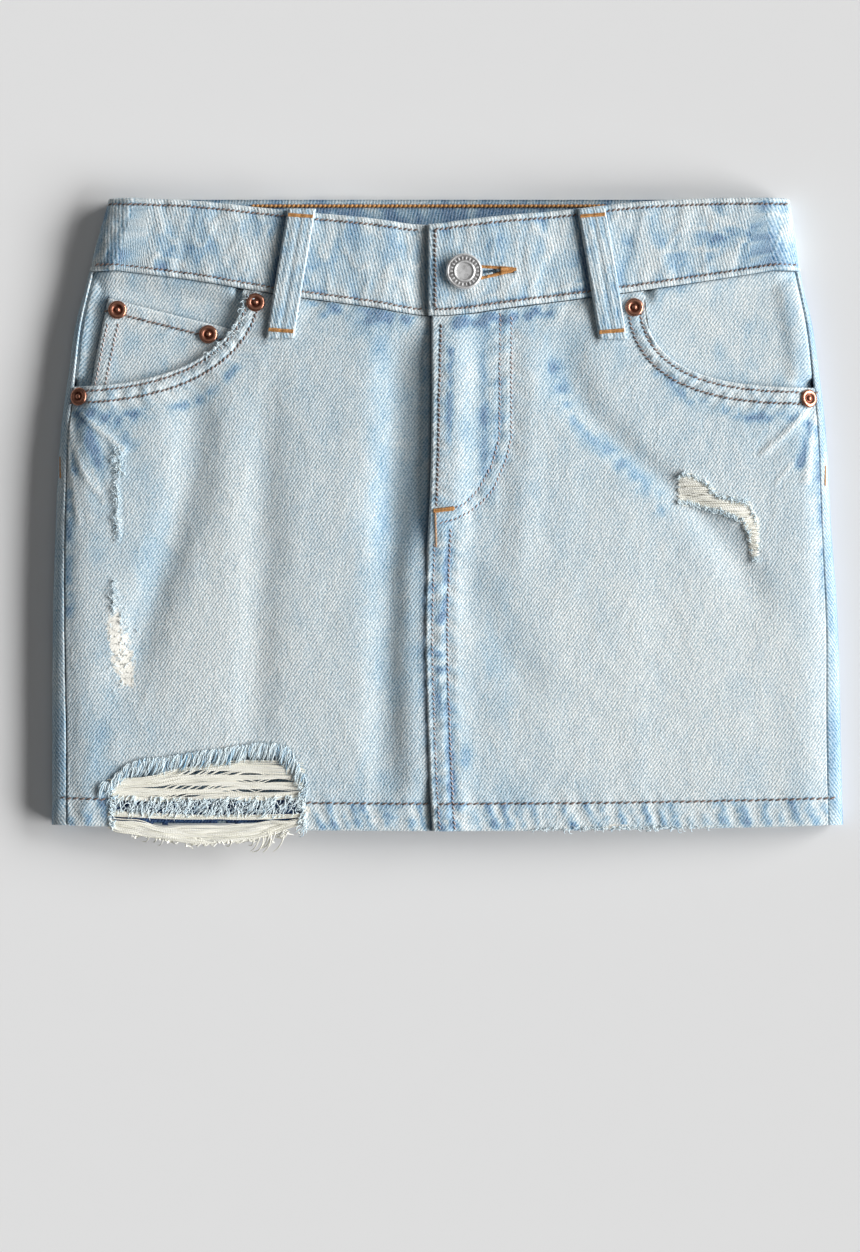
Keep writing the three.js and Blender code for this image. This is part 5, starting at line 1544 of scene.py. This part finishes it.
def wornEdgeRoot():
    path = mouthPath(pockets["right"])[:26]
    x, y = path[random.integers(0, len(path))]
    x, y = x + random.uniform(-0.5, 2.5), y + random.uniform(-2.5, 0.5)
    return x, y, random.uniform(-1, 1), random.uniform(-1, 0.4)


def hemFrayRoot():  # the worn lower edge of the hem
    x = random.choice([random.normal(62, 9), random.normal(80, 8), random.normal(98, 8), random.uniform(40, 130)])
    return x, float(hemLine(x)) + random.uniform(0.2, 2.0), random.uniform(-1, 1), random.uniform(-0.9, 0.1)


threads = smallRipThreads()
strandMesh("smallRipYarn", threads, 0.26 * random.uniform(0.8, 1.2, len(threads)), ecruThread, sides=5,
    tint=random.uniform(0, 0.5, len(threads)), taper=0.8)
fuzz = np.concatenate([
    tufts(560, smallRipRoot, 2.6, (-0.8, 0.8), 0.45, 0.9), tufts(300, wornRoot, 2.6, (-0.8, 0.8), 0.2, 0.8),
    tufts(90, wornEdgeRoot, 3.0, (-1, 1), 0.4, 1.2), tufts(160, hemFrayRoot, 2.2, (-1, 1), 0.3, 1.0)])
makeFrayed("fuzz", fuzz, 0.17, 1.2, (0.12, 0.16))
print("rips made")

# Floor, light and camera

studio = {"key": 6.05, "keyTurns": (-24, -1, 22), "keyHeight": 23.5, "keySpread": 25, "top": 0.19, "fill": 0.08,
    "floor": (232, 232, 232), "grain": (224, 224, 224), "reach": 8.0, "below": 0.0003}


def makeFloor():
    f = Finish("paleFloor")
    place = f.add("ShaderNodeTexCoord", None, None, "Object")
    grain = f.noise(place, 60.0, 3.0)
    colour = f.mix(grain * 0.12, rgb(*studio["floor"]), rgb(*studio["grain"]))
    f.surface(Base_Color=colour, Roughness=0.95, Specular_IOR_Level=0.1)
    mesh = bpy.data.meshes.new("floor")
    corners = [(x * studio["reach"], y * studio["reach"], -studio["below"])
        for x, y in ((-1, -1), (1, -1), (1, 1), (-1, 1))]
    mesh.from_pydata(corners, [], [(0, 1, 2, 3)])
    mesh.materials.append(f.material)
    floor = bpy.data.objects.new("floor", mesh)
    bpy.context.scene.collection.objects.link(floor)


def farLight(name, strength, turn, height, spread):
    # turn is measured from the picture's right towards the waist; spread softens the shadows
    lamp = bpy.data.lights.new(name, "SUN")
    lamp.energy, lamp.angle = strength, math.radians(spread)
    a, e = math.radians(turn), math.radians(height)
    way = Vector((math.cos(a) * math.cos(e), math.sin(a) * math.cos(e), math.sin(e)))
    holder = bpy.data.objects.new(name, lamp)
    holder.location = way * 2
    holder.rotation_euler = (-way).to_track_quat("-Z", "Y").to_euler()
    bpy.context.scene.collection.objects.link(holder)


makeFloor()
for i, turn in enumerate(studio["keyTurns"]):  # a long soft source, as three overlapping ones
    farLight("keyLight%d" % (i + 1), studio["key"] / 3, turn, studio["keyHeight"], studio["keySpread"])
farLight("topLight", studio["top"], 80, 75, 60)
world = bpy.data.worlds.new("studio")
world.use_nodes = True
world.node_tree.nodes["Background"].inputs[0].default_value = (1, 1, 1, 1)
world.node_tree.nodes["Background"].inputs[1].default_value = studio["fill"]
bpy.context.scene.world = world
bpy.context.scene.view_settings.view_transform = "Standard"

view = {"x": -8.4, "y": 94.4, "away": 1.8, "long": 0.5823, "plane": 0.016}
camera = bpy.data.cameras.new("camera")
camera.sensor_width = 36
camera.lens = camera.sensor_width * (view["away"] - view["plane"]) / view["long"]
camera.clip_start, camera.clip_end = 0.05, 20
holder = bpy.data.objects.new("camera", camera)
holder.location = ((view["x"] + shift[0]) * mm, (view["y"] + shift[1]) * mm, view["away"])
bpy.context.scene.collection.objects.link(holder)
bpy.context.scene.camera = holder
print("floor, light and camera made")
